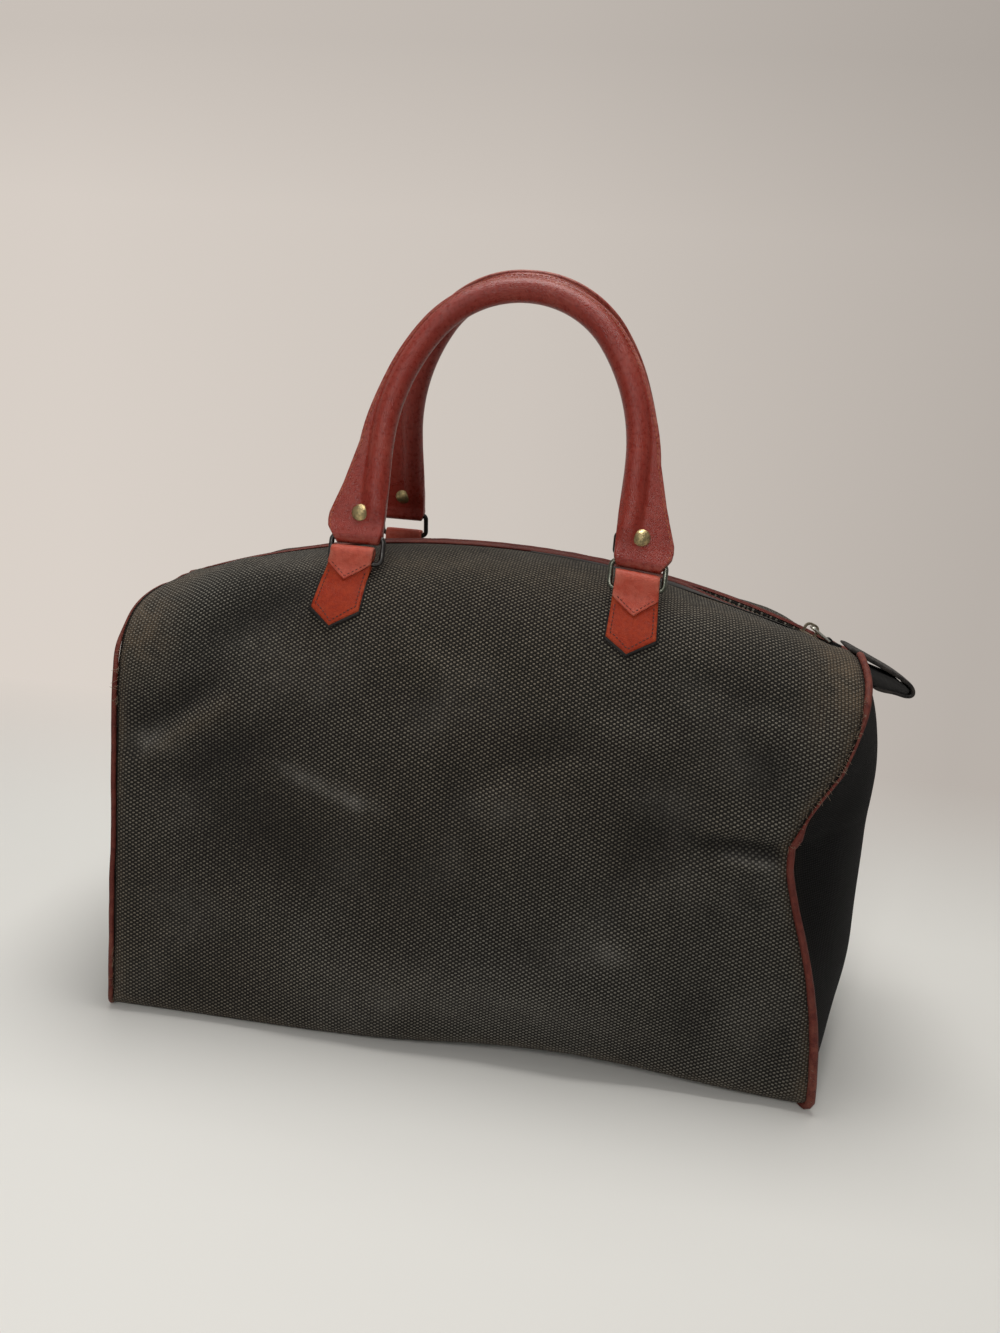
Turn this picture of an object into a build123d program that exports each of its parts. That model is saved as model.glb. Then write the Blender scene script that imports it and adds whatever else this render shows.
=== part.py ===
from build123d import *
import os
from math import asin, atan2, cos, degrees, exp, hypot, sin, sqrt

# Carpet bag with a zip top, two rolled leather handles and piped end panels.
# Millimetres. X runs along the bag, +Y to its back, +Z up. The origin is the centre of the base.

os.makedirs("parts", exist_ok=True)

# Canvas shell
base_half_depth = 105.0
wall = 2.2
base_fold_radius = 11.0
side_lean = 3.0
side_lean_z = 105.0
crown_height = 287.0
crown_arc_radius = 560.0
crown_arc_x = -10.0
crown_flat_half = 14.0
station_span = 230.0
station_count = 7
shoulder_reach_x = 200.0
# Shoulder points as (in from the base's edge, below the crown): at the middle of the bag, then at its ends
shoulder_middle = [(69.0, 4.0), (43.0, 15.0), (25.0, 42.0), (11.0, 92.0)]
shoulder_end = [(69.0, -3.0), (40.0, 3.0), (20.0, 28.0), (9.0, 75.0)]
base_trim = 1.0

# End panels
panel_wall = 1.8
panel_edge_gap = 0.15
panel_narrowing = 0.045
right_seam_x = 203.0
right_bulge = 32.0
right_bulge_height = 125.0
right_bulge_reach = 128.0
waist_depth = 28.0
waist_depth_back = 12.0
waist_height = 152.0
waist_spread = 58.0
left_seam_x = -205.0
left_bulge = 30.0
left_bulge_height = 112.0
left_bulge_reach = 140.0
grid_low = -15.0
grid_high = 300.0
grid_half_width = 130.0
grid_steps = 16

# Piping
piping_radius = 1.8
piping_seat = 0.8
piping_sink = 0.1
piping_above_floor = 0.3
piping_step = 18.0
piping_bend_share = 0.45
piping_middle_z = 120.0

# Zip
slot_half = 5.0
slot_from_seam = 5.0
tape_thickness = 0.9
tape_half_width = 11.0
tape_gap = 0.05
tape_from_seam = 3.0
tape_end_clear = 3.0
teeth_inner = 0.5
teeth_outer = 2.6
teeth_thickness = 2.6
tooth_pitch = 3.0
tooth_depth = 0.9
tooth_share = 0.55
tooth_bead_sides = 24
teeth_from_left_seam = 9.0
teeth_from_right_seam = 8.0
stop_length = 2.4
stop_gap = 0.6
binding_width = 4.8
binding_thickness = 1.5
binding_from_left_seam = 2.0
binding_past_right_seam = 7.0
seat_gap = 0.05

# Slider and pull
slider_from_teeth_end = 9.0
slider_length = 11.0
slider_half_width = 4.6
slider_plate = 1.5
slider_gap = 0.25
slider_web = 0.6
bridge_height = 6.6
bridge_length = 9.0
bridge_width = 2.4
bridge_strip = 1.3
bridge_corner = 3.3
pull_wire_radius = 0.9
pull_ring_width = 7.0
pull_ring_length = 13.0
pull_corner_radius = 1.2
pull_play = 0.15
pull_rest_height = 1.5
strap_width = 4.4
strap_ply = 0.9
strap_taper = 2.7
strap_length = 8.0
strap_play = 0.25

# Zip end tab
tab_ply = 2.7
tab_half_width = 13.0
tab_clear_above = 0.4
tab_clear_below = 0.25
tab_upper_length = 35.0
tab_lower_length = 14.0
tab_bend_from_seam = 38.0

# Chapes that hold the rings, with their levels below the crown and their seats in from the base's edge
chape_x = 79.5
chape_in = 43.5
chape_neck = 24.4
chape_width = 27.2
chape_thickness = 3.4
chape_ply = 2.4
chape_loop_drop = 4.4
chape_pad_drop = 19.0
chape_shoulder_drop = 23.0
chape_root_drop = 29.0
chape_root_in = 44.0
chape_corner_drop = 34.0
chape_tip_drop = 44.0
front_left_lean = -8.0

# Rings
ring_wire_radius = 1.5
ring_width = 30.0
ring_height = 15.3
ring_corner_radius = 3.5
ring_play = 0.3
ring_slack = 5.6
ring_tip_in = 4.0

# Handles
handle_offset = 6.5
handle_spring = 56.0
handle_rise = 96.7
handle_crown_radius = 62.0
handle_radius = 6.9
handle_rest_gap = 0.3
core_radius = 4.9
core_start = 46.0
core_gap = 0.05
roll_low = 52.0
flange_half_thickness = 1.5
flange_lip = 3.4
flange_crown_lip = 0.9
flange_crown_spread = 6.0
end_ply = 2.6
end_fold_width = 25.0
end_inner = 14.2
end_outer = 18.5
end_flare_low = 4.2
end_flare_high = 12.0
end_neck = 2.6
end_top = 26.0
end_slant = 3.5
end_taper = 8.0
flap_shoulder = 15.0
flap_tip = 25.0
foot_low = 20.0
foot_middle = 33.0
foot_middle_shift = 1.5
foot_middle_half_width = 9.5
foot_middle_half_depth = 5.3
foot_low_inset = 0.5
foot_low_half_width = 13.5
foot_low_proud = 0.2
rivet_height = 13.0
rivet_cap_radius = 4.8
rivet_cap_rise = 2.3
rivet_rim = 0.6
rivet_shank_radius = 1.5
rivet_hole_gap = 0.05

# Places that follow from the sizes above
bag_length = 3 * station_span
slot_left_x = left_seam_x + slot_from_seam
tape_left_x = left_seam_x + tape_from_seam
teeth_left_x = left_seam_x + teeth_from_left_seam
teeth_right_x = right_seam_x - teeth_from_right_seam
binding_left_x = left_seam_x + binding_from_left_seam
binding_right_x = right_seam_x + binding_past_right_seam
slider_x = teeth_right_x - slider_from_teeth_end
tab_bend_x = right_seam_x + tab_bend_from_seam
tab_upper_x = tab_bend_x - tab_upper_length
tab_lower_x = tab_bend_x - tab_lower_length
tape_right_x = tab_bend_x - tape_end_clear
chape_y = base_half_depth - chape_in
chape_root_y = base_half_depth - chape_root_in
chape_loop_z = crown_height - chape_loop_drop
chape_pad_top_z = crown_height - chape_pad_drop
chape_shoulder_z = crown_height - chape_shoulder_drop
chape_root_z = crown_height - chape_root_drop
chape_corner_z = crown_height - chape_corner_drop
chape_tip_z = crown_height - chape_tip_drop
handle_half_span = chape_x - handle_offset
handle_apex_y = handle_radius + handle_rest_gap / 2
end_inner_x = chape_x - end_inner
end_outer_x = chape_x + end_outer
crown_arc_z = crown_height - crown_arc_radius


def crown_z(x, inset=0.0):
    """Height of the crown at x, or of the arc that lies inset below it."""
    return crown_arc_z + sqrt((crown_arc_radius - inset) ** 2 - (x - crown_arc_x) ** 2)


def save(shape, name):
    """Writes one piece to its own file."""
    solids = shape.solids()
    whole = solids[0] if len(solids) == 1 else Compound(children=list(solids))
    whole.label = name
    export_step(whole, f"parts/{name}.step")


# Canvas shell

def half_profile(x, inset):
    """Points of one side, from the crown strip down to the base fold, as (out, z)."""
    blend = (x / shoulder_reach_x) ** 2
    top = crown_z(x, 0)
    points = [(crown_flat_half, top)]
    for (in_m, drop_m), (in_e, drop_e) in zip(shoulder_middle, shoulder_end):
        out = base_half_depth - in_m - (in_e - in_m) * blend
        drop = drop_m + (drop_e - drop_m) * blend
        points.append((out, top - drop))
    points.append((base_half_depth - side_lean, side_lean_z))
    points.append((base_half_depth, base_fold_radius))
    moved = [(crown_flat_half, crown_z(x, inset))]
    for before, here, after in zip(points, points[1:], points[2:]):
        run = after[0] - before[0]
        fall = after[1] - before[1]
        length = hypot(run, fall)
        moved.append((here[0] + inset * fall / length, here[1] - inset * run / length))
    moved.append((base_half_depth - inset, base_fold_radius))
    return moved


def section(x, inset, base_z):
    """Closed section of the shell at x, inset from its outer face, with its base at base_z."""
    right = [Vector(x, out, z) for out, z in half_profile(x, inset)]
    left = [Vector(x, -p.Y, p.Z) for p in right]
    radius = base_fold_radius - base_z
    fold_y = base_half_depth - inset - radius
    corner = radius * (1 - sqrt(0.5))
    edges = [
        Edge.make_line(left[0], right[0]),
        Edge.make_spline(right, tangents=[Vector(0, 1, 0), Vector(0, 0, -1)]),
        Edge.make_three_point_arc(
            right[-1],
            Vector(x, fold_y + radius - corner, base_z + corner),
            Vector(x, fold_y, base_z),
        ),
        Edge.make_line(Vector(x, fold_y, base_z), Vector(x, -fold_y, base_z)),
        Edge.make_three_point_arc(
            Vector(x, -fold_y, base_z),
            Vector(x, -(fold_y + radius - corner), base_z + corner),
            left[-1],
        ),
        Edge.make_spline(left[::-1], tangents=[Vector(0, 0, 1), Vector(0, 1, 0)]),
    ]
    return Wire(edges)


def shell_solid(inset, base_z):
    """Solid inside the shell's outer face moved in by inset."""
    step = 2 * station_span / (station_count - 1)
    stations = [-station_span + i * step for i in range(station_count)]
    return Solid.make_loft([section(x, inset, base_z) for x in stations])


# End panels

def right_end_x(y, z):
    """X of the right end panel's outer face."""
    depth = waist_depth if y < 0 else waist_depth_back
    pinch = exp(-(((z - waist_height) / waist_spread) ** 2))
    seam = right_seam_x - depth * pinch * min(1.0, abs(y) / base_half_depth) ** 2
    dome = 1 - ((z - right_bulge_height) / right_bulge_reach) ** 4
    across = 1 - (y / (base_half_depth - panel_narrowing * z)) ** 2
    return seam + right_bulge * dome * across


def left_end_x(y, z):
    """X of the left end panel's outer face."""
    dome = 1 - ((z - left_bulge_height) / left_bulge_reach) ** 4
    across = 1 - (y / (base_half_depth - panel_narrowing * z)) ** 2
    return left_seam_x - left_bulge * dome * across


def end_sheet(end_x, inward, depth, shift=0.0):
    """Solid going inward by depth from an end panel's sheet, which shift moves out square to itself."""
    rows = []
    for i in range(grid_steps + 1):
        y = inward * grid_half_width * (1 - 2 * i / grid_steps)
        row = []
        for j in range(grid_steps + 1):
            z = grid_low + (grid_high - grid_low) * j / grid_steps
            slope_y = (end_x(y + 1, z) - end_x(y - 1, z)) / 2
            slope_z = (end_x(y, z + 1) - end_x(y, z - 1)) / 2
            along_x = shift * sqrt(1 + slope_y**2 + slope_z**2)
            row.append(Vector(end_x(y, z) - inward * along_x, y, z))
        rows.append(row)
    face = Face.make_surface_from_array_of_points(rows)
    return Solid.extrude(face, Vector(inward * depth, 0, 0))


# Zip, laid along the crown's arc

def arc_point(radius, angle, y):
    return Vector(crown_arc_x + radius * sin(angle), y, crown_arc_z + radius * cos(angle))


def arc_angle(x):
    return asin((x - crown_arc_x) / crown_arc_radius)


def arc_strip(low, high, x_start, x_end, y_start, y_end):
    """Strip that follows the crown, from low to high above it."""
    a = arc_angle(x_start)
    b = arc_angle(x_end)
    inner = crown_arc_radius + low
    outer = crown_arc_radius + high
    middle = (a + b) / 2
    outline = Wire([
        Edge.make_three_point_arc(
            arc_point(outer, a, y_start), arc_point(outer, middle, y_start), arc_point(outer, b, y_start)
        ),
        Edge.make_line(arc_point(outer, b, y_start), arc_point(inner, b, y_start)),
        Edge.make_three_point_arc(
            arc_point(inner, b, y_start), arc_point(inner, middle, y_start), arc_point(inner, a, y_start)
        ),
        Edge.make_line(arc_point(inner, a, y_start), arc_point(outer, a, y_start)),
    ])
    return Solid.extrude(Face(outline), Vector(0, y_end - y_start, 0))


tape_top = -wall - tape_gap
tape_bottom = tape_top - tape_thickness
tape_middle = (tape_top + tape_bottom) / 2
teeth_top = tape_middle + teeth_thickness / 2
teeth_bottom = tape_middle - teeth_thickness / 2


def teeth_row(y_start, y_end):
    """One row of zip teeth: a bead with a tooth every pitch."""
    start = arc_angle(teeth_left_x)
    stop = arc_angle(teeth_right_x)
    pitch = tooth_pitch / crown_arc_radius
    count = int((stop - start) / pitch)
    tip = crown_arc_radius + teeth_top
    root = tip - tooth_depth
    bottom = crown_arc_radius + teeth_bottom
    outline = []
    for i in range(count):
        a = start + i * pitch
        b = a + tooth_share * pitch
        outline += [(root, a), (tip, a), (tip, b), (root, b)]
    end = start + count * pitch
    outline += [(root, end)]
    for i in range(tooth_bead_sides + 1):
        outline.append((bottom, end + (start - end) * i / tooth_bead_sides))
    points = [arc_point(radius, angle, y_start) for radius, angle in outline]
    face = Face(Wire.make_polygon(points, close=True))
    return Solid.extrude(face, Vector(0, y_end - y_start, 0))


def on_arc(x):
    """Place of a piece at x on the crown: its own X along the zip, its own Z away from the bag."""
    turn = degrees(arc_angle(x))
    return Pos(crown_arc_x, 0, crown_arc_z) * Rot(Y=turn) * Pos(0, 0, crown_arc_radius)


# Wire rings and folded straps

def wire_ring(width, height, corner, wire_radius):
    """Rounded rectangular ring in the XZ plane, with the middle of its lower bar at the origin."""
    path = Pos(0, 0, height / 2) * (Plane.XZ * RectangleRounded(width, height, corner))
    start = path.face().outer_wire()
    profile = Plane(origin=start @ 0, z_dir=start % 0) * Circle(wire_radius)
    return sweep(profile, path=start)


def fold_profile(bar_radius, play, ply, taper, length):
    """Section of a strap folded round a bar at the origin, in the YZ plane, with the strap going up."""
    inner = bar_radius + play
    outer = inner + ply
    strap = Polyline(
        (-outer, 0), (-ply, taper), (-ply, length), (ply, length), (ply, taper), (outer, 0), close=True
    )
    void = Polyline((-inner, 0), (0, taper - ply), (inner, 0), close=True)
    profile = Circle(outer) + make_face(strap) - Circle(inner) - make_face(void)
    return Plane.YZ * profile


# Chapes

def chape(x, side, lean):
    """Leather strip folded over a ring and sewn on; side is -1 at the front and 1 at the back."""
    half_neck = chape_neck / 2
    half_width = chape_width / 2
    fall = chape_pad_top_z - chape_tip_z

    def at(offset, z):
        return (x + offset + lean * (chape_pad_top_z - z) / fall, z)

    outline = Polyline(
        at(-half_neck, chape_pad_top_z),
        at(-half_width, chape_shoulder_z),
        at(-half_width, chape_corner_z),
        at(0, chape_tip_z),
        at(half_width, chape_corner_z),
        at(half_width, chape_shoulder_z),
        at(half_neck, chape_pad_top_z),
        close=True,
    )
    reach = base_half_depth + 2 * chape_thickness
    prism = extrude(Plane.XZ * make_face(outline), amount=reach, dir=(0, side, 0))
    pad = (chape_outer & prism) - chape_inner
    inner = ring_wire_radius + ring_play
    outer = inner + chape_ply
    loop_y = side * chape_y
    out_y = side * (chape_y + outer)
    in_y = side * (chape_y - outer)
    low_bar_z = chape_loop_z - ring_slack
    strap = Polyline(
        (out_y, chape_loop_z),
        (out_y, chape_root_z),
        (side * chape_root_y, chape_root_z),
        (in_y, low_bar_z),
        (in_y, chape_loop_z),
        close=True,
    )
    slot = Polyline(
        (loop_y - inner, chape_loop_z),
        (loop_y - inner, low_bar_z),
        (loop_y + inner, low_bar_z),
        (loop_y + inner, chape_loop_z),
        close=True,
    )
    profile = make_face(strap) + Pos(loop_y, chape_loop_z) * Circle(outer)
    profile -= make_face(slot)
    profile -= Pos(loop_y, chape_loop_z) * Circle(inner)
    profile -= Pos(loop_y, low_bar_z) * Circle(inner)
    fold = Pos(x - half_neck, 0, 0) * extrude(Plane.YZ * profile, amount=chape_neck)
    return pad + (fold - chape_inner)


# Handles

def arch(half_span, spring, rise, crown_radius):
    """Edges of a three-centred arch in the XZ plane, from its left springing to its right."""
    centre_up = rise - crown_radius
    side_radius = (half_span**2 + centre_up**2 - crown_radius**2) / (2 * (half_span - crown_radius))
    side_x = half_span - side_radius
    join = atan2(centre_up, -side_x)

    def on_side(angle):
        return (side_x + side_radius * cos(angle), 0, spring + side_radius * sin(angle))

    right = [on_side(0), on_side(join / 2), on_side(join)]
    left = [(-x, y, z) for x, y, z in right]
    top = (0, 0, spring + rise)
    return [
        Edge.make_three_point_arc(*left),
        Edge.make_three_point_arc(left[2], top, right[2]),
        Edge.make_three_point_arc(*right[::-1]),
    ]


def handle_path(start):
    """Centre line of the roll, from height start on the left leg to the same height on the right."""
    legs_top = handle_spring
    edges = arch(handle_half_span, legs_top, handle_rise, handle_crown_radius)
    left = Edge.make_line((-handle_half_span, 0, start), (-handle_half_span, 0, legs_top))
    right = Edge.make_line((handle_half_span, 0, legs_top), (handle_half_span, 0, start))
    return Wire([left, *edges, right])


def roll(path, radius):
    return sweep(Plane(origin=path @ 0, z_dir=path % 0) * Circle(radius), path=path)


def flange():
    """Stitched edge that stands out along the outer side of the roll and widens to the flat ends."""
    half_span = handle_half_span + handle_radius + flange_lip
    rise = handle_rise + handle_radius + flange_crown_lip
    outer = arch(half_span, handle_spring, rise, handle_crown_radius + flange_crown_spread)
    inner = arch(handle_half_span, handle_spring, handle_rise, handle_crown_radius)
    foot = end_flare_high
    outline = Wire([
        *outer,
        Edge.make_line((half_span, 0, handle_spring), (end_outer_x, 0, foot)),
        Edge.make_line((end_outer_x, 0, foot), (handle_half_span, 0, foot)),
        Edge.make_line((handle_half_span, 0, foot), (handle_half_span, 0, handle_spring)),
        *inner[::-1],
        Edge.make_line((-handle_half_span, 0, handle_spring), (-handle_half_span, 0, foot)),
        Edge.make_line((-handle_half_span, 0, foot), (-end_outer_x, 0, foot)),
        Edge.make_line((-end_outer_x, 0, foot), (-half_span, 0, handle_spring)),
    ])
    return extrude(Face(outline), amount=flange_half_thickness, both=True, dir=(0, 1, 0))


def handle_end():
    """Flat right end: folded round the ring, with its outer ply on the front and a pointed flap behind."""
    half_fold = end_fold_width / 2
    fold_in = chape_x - half_fold
    fold_out = chape_x + half_fold
    outer_ply = Polyline(
        (fold_in, -2 * end_ply - ring_wire_radius),
        (fold_in, end_neck),
        (end_inner_x, end_flare_low),
        (end_inner_x, end_top),
        (end_outer_x - end_slant, end_top),
        (end_outer_x, end_flare_high),
        (end_outer_x, end_flare_low + end_neck),
        (fold_out, end_neck),
        (fold_out, -2 * end_ply - ring_wire_radius),
        close=True,
    )
    flap = Polyline(
        (fold_in, -2 * end_ply - ring_wire_radius),
        (fold_in, end_neck),
        (end_inner_x, end_flare_low),
        (end_inner_x, flap_shoulder),
        (chape_x, flap_tip),
        (end_outer_x, flap_shoulder),
        (end_outer_x, end_flare_low + end_neck),
        (fold_out, end_neck),
        (fold_out, -2 * end_ply - ring_wire_radius),
        close=True,
    )
    depth = 2 * end_ply + ring_wire_radius
    front = extrude(Plane.XZ * make_face(outer_ply), amount=depth, dir=(0, -1, 0))
    back = extrude(Plane.XZ * make_face(flap), amount=depth, dir=(0, 1, 0))
    section_face = fold_profile(ring_wire_radius, ring_play, end_ply, end_taper, end_top)
    thickness = extrude(section_face, amount=end_outer_x + handle_radius)
    return (front + back) & thickness


def roll_foot():
    """Lower end of the roll on the right leg, flattening from a circle into the flat end."""
    heights = [roll_low, foot_middle, foot_low]
    centres = [handle_half_span, handle_half_span + foot_middle_shift, chape_x - foot_low_inset]
    widths = [handle_radius, foot_middle_half_width, foot_low_half_width]
    depths = [handle_radius, foot_middle_half_depth, end_ply + foot_low_proud]
    wires = []
    for height, centre, half_width, half_depth in zip(heights, centres, widths, depths):
        place = Plane(origin=(centre, 0, height), x_dir=(1, 0, 0), z_dir=(0, 0, 1))
        wires.append((place * Ellipse(half_width, half_depth)).wire())
    return Solid.make_loft(wires)


def rivet():
    """Rivet through the right end of a handle, with a domed cap on each side."""
    seat = end_ply
    shank = Cylinder(rivet_shank_radius, 2 * seat)
    dome_radius = (rivet_cap_radius**2 + rivet_cap_rise**2) / (2 * rivet_cap_rise)
    bottom = (Align.CENTER, Align.CENTER, Align.MIN)
    rim = Pos(0, 0, seat) * Cylinder(rivet_cap_radius, rivet_rim, align=bottom)
    ball = Pos(0, 0, seat + rivet_rim + rivet_cap_rise - dome_radius) * Sphere(dome_radius)
    above_rim = Box(3 * rivet_cap_radius, 3 * rivet_cap_radius, 2 * rivet_cap_rise, align=bottom)
    dome = ball & Pos(0, 0, seat + rivet_rim) * above_rim
    cap = rim + dome
    turned = shank + cap + mirror(cap, about=Plane.XY)
    return Pos(chape_x, 0, rivet_height) * Rot(X=90) * turned


def handle_sleeve():
    """Leather of one handle: roll, flange and both flat ends, open inside for its cord core."""
    right_end = handle_end() + roll_foot()
    body = roll(handle_path(roll_low), handle_radius) + flange()
    body += right_end
    body += mirror(right_end, about=Plane.YZ)
    body -= roll(handle_path(core_start), core_radius + core_gap)
    hole = Cylinder(rivet_shank_radius + rivet_hole_gap, 4 * handle_radius)
    for x in (chape_x, -chape_x):
        body -= Pos(x, 0, rivet_height) * Rot(X=90) * hole
    return body


# Carrying sets: the front one leans on the back one at the top of the handles

bar_y = chape_y - ring_tip_in
ring_lean = degrees(asin(ring_tip_in / ring_height))
front_low_bar_z = chape_loop_z - ring_slack
back_low_bar_z = chape_loop_z
ring_rise = sqrt(ring_height**2 - ring_tip_in**2)
handle_reach = handle_spring + handle_rise
handle_lean = degrees(asin((bar_y - handle_apex_y) / handle_reach))


def place_set(side):
    """Places of the rings' frame and the handle's frame; side is -1 at the front and 1 at the back."""
    turn = 0 if side < 0 else 180
    low_z = front_low_bar_z if side < 0 else back_low_bar_z
    ring_place = Rot(Z=turn) * Pos(0, -chape_y, low_z) * Rot(X=-ring_lean)
    handle_place = Rot(Z=turn) * Pos(0, -bar_y, low_z + ring_rise) * Rot(X=-handle_lean)
    return ring_place, handle_place


deck = teeth_top + slider_gap + slider_plate


def zip_slider():
    """Slider: two plates joined by a thin web between the rows of teeth, with a bridge for the pull."""
    x0 = -slider_length / 2
    top_low = teeth_top + slider_gap
    bottom_high = teeth_bottom - slider_gap
    half = slider_half_width
    channel = teeth_outer + slider_gap
    pieces = [
        (-half, half, top_low, top_low + slider_plate),
        (-half, half, bottom_high - slider_plate, bottom_high),
        (-slider_web / 2, slider_web / 2, bottom_high, top_low),
        (-half, -channel, tape_top + slider_gap, top_low),
        (channel, half, tape_top + slider_gap, top_low),
        (-half, -channel, bottom_high, tape_bottom - slider_gap),
        (channel, half, bottom_high, tape_bottom - slider_gap),
    ]
    body = None
    for y0, y1, z0, z1 in pieces:
        block = Pos(x0, y0, z0) * Box(slider_length, y1 - y0, z1 - z0, align=Align.MIN)
        body = block if body is None else body + block
    bridge_outside = RectangleRounded(bridge_length, 2 * bridge_height, bridge_corner)
    bridge_inside = RectangleRounded(
        bridge_length - 2 * bridge_strip, 2 * (bridge_height - bridge_strip), bridge_corner - bridge_strip
    )
    bridge_face = Plane.XZ * (Pos(0, deck) * (bridge_outside - bridge_inside))
    bridge = extrude(bridge_face, amount=bridge_width / 2, both=True)
    side = 4 * slider_length
    bridge -= Pos(0, 0, deck) * Box(side, side, side, align=(Align.CENTER, Align.CENTER, Align.MAX))
    return body + bridge


pull_pivot = deck + bridge_height - bridge_strip - pull_play - pull_wire_radius
pull_drop = degrees(asin((pull_pivot - pull_rest_height) / pull_ring_length))


def pull_place():
    """Place of the pull: its pivot in the slider's bridge, with the ring running along its own Z."""
    return on_arc(slider_x) * Pos(0, 0, pull_pivot) * Rot(Y=90 + pull_drop)


def pull_strap():
    """Short leather strap folded round the far bar of the pull ring."""
    profile = fold_profile(pull_wire_radius, strap_play, strap_ply, strap_taper, strap_length)
    strap = Pos(-strap_width / 2, 0, 0) * extrude(profile, amount=strap_width)
    return Pos(0, 0, pull_ring_length) * Rot(Y=-pull_drop) * Rot(Z=90) * strap


def piping(end_x, inward):
    """Cord along a seam: short straight runs joined by tangent arcs, in a front and a back half."""
    shell = shell_solid(piping_sink, piping_radius + piping_above_floor)
    core = shell & end_sheet(end_x, inward, bag_length, piping_radius + piping_seat)
    rim = core.faces().sort_by(Axis.X)[-1 if inward < 0 else 0].outer_wire()
    count = round(rim.length / piping_step)
    points = [rim @ ((i + 0.5) / count) for i in range(count)]
    halves = []
    for side in (-1, 1):
        half = [p for p in points if p.Y * side > 0]
        halves.append(sorted(half, key=lambda p: atan2(p.Y * side, p.Z - piping_middle_z)))
    top = (halves[0][0] + halves[1][0]) / 2
    low = (halves[0][-1] + halves[1][-1]) / 2
    cord = None
    for half in halves:
        path = rounded_path([top, *half, low])
        run = sweep(Plane(origin=path @ 0, z_dir=path % 0) * Circle(piping_radius), path=path)
        cord = run if cord is None else cord + run
    return cord


def rounded_path(points):
    """Straight runs through the points, with a tangent arc at each corner."""
    edges = []
    here = points[0]
    for before, corner, after in zip(points, points[1:], points[2:]):
        back = (before - corner).normalized()
        ahead = (after - corner).normalized()
        trim = piping_bend_share * min((before - corner).length, (after - corner).length)
        bisector = (back + ahead).normalized()
        along = bisector.dot(back)
        radius = trim * sqrt(1 - along**2) / along
        start = corner + back * trim
        middle = corner + bisector * (trim / along - radius)
        end = corner + ahead * trim
        edges.append(Edge.make_line(here, start))
        edges.append(Edge.make_three_point_arc(start, middle, end))
        here = end
    edges.append(Edge.make_line(here, points[-1]))
    return Wire(edges)


tab_upper = piping_radius - piping_sink + tab_clear_above
tab_lower = tape_bottom - tab_clear_below


def zip_end_tab():
    """Leather tab folded over the end of the zip: an upper ply, a lower ply and the bend between them."""
    y = tab_half_width
    upper = arc_strip(tab_upper, tab_upper + tab_ply, tab_upper_x, tab_bend_x, -y, y)
    lower = arc_strip(tab_lower - tab_ply, tab_lower, tab_lower_x, tab_bend_x, -y, y)
    inner = (tab_upper - tab_lower) / 2
    outer = inner + tab_ply
    keep = Rectangle(2 * outer, 4 * outer, align=(Align.MIN, Align.CENTER))
    bend_face = Plane.XZ * ((Circle(outer) - Circle(inner)) & keep)
    bend = Pos(0, 0, (tab_upper + tab_lower) / 2) * extrude(bend_face, amount=y, both=True)
    return on_arc(tab_bend_x) * bend + upper + lower


# Whole bag

outer_shell = shell_solid(0, -base_trim)
inner_shell = shell_solid(wall, wall)
from_floor = (Align.CENTER, Align.CENTER, Align.MAX)
under_floor = Box(bag_length, bag_length, station_span, align=from_floor)
chape_inner = shell_solid(-seat_gap, -base_trim)
chape_outer = shell_solid(-chape_thickness, -base_trim)
panel_mouth = shell_solid(wall + panel_edge_gap, wall + panel_edge_gap)

body_wrap = outer_shell - under_floor - inner_shell
body_wrap &= end_sheet(right_end_x, -1, bag_length)
body_wrap &= end_sheet(left_end_x, 1, bag_length)
body_wrap -= arc_strip(-2 * wall, wall, slot_left_x, tab_bend_x, -slot_half, slot_half)
zip_passage = arc_strip(
    tape_bottom - tab_clear_below, wall, slot_left_x, tab_bend_x,
    -tape_half_width - tab_clear_below, tape_half_width + tab_clear_below,
)
for name, end_x, inward in (("right", right_end_x, -1), ("left", left_end_x, 1)):
    save(piping(end_x, inward), f"{name}_piping")
    panel = end_sheet(end_x, inward, panel_wall) & panel_mouth
    if inward < 0:
        panel -= zip_passage
    save(panel, f"{name}_end_panel")
save(body_wrap, "body_wrap")

for name, side in (("front", -1), ("back", 1)):
    tape_y = sorted((side * teeth_outer, side * tape_half_width))
    save(arc_strip(tape_bottom, tape_top, tape_left_x, tape_right_x, *tape_y), f"{name}_zip_tape")
    teeth_y = sorted((side * teeth_inner, side * teeth_outer))
    save(teeth_row(*teeth_y), f"{name}_zip_teeth")
    binding_y = sorted((side * slot_half, side * (slot_half + binding_width)))
    binding_top = seat_gap + binding_thickness
    save(arc_strip(seat_gap, binding_top, binding_left_x, binding_right_x, *binding_y), f"{name}_zip_binding")

stop_end_x = teeth_left_x - stop_gap
stop_start_x = stop_end_x - stop_length
save(arc_strip(teeth_bottom, teeth_top, stop_start_x, stop_end_x, -teeth_outer, teeth_outer), "zip_bottom_stop")
top_stop_x = teeth_right_x + stop_gap
top_stops = [
    arc_strip(teeth_bottom, teeth_top, top_stop_x, top_stop_x + stop_length, low, high)
    for low, high in ((-teeth_outer, -teeth_inner), (teeth_inner, teeth_outer))
]
save(Compound(children=top_stops), "zip_top_stops")
save(on_arc(slider_x) * zip_slider(), "zip_slider")
pull_ring = Rot(Z=90) * wire_ring(pull_ring_width, pull_ring_length, pull_corner_radius, pull_wire_radius)
save(pull_place() * pull_ring, "zip_pull_ring")
save(pull_place() * pull_strap(), "zip_pull_strap")
save(zip_end_tab(), "zip_end_tab")

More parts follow.
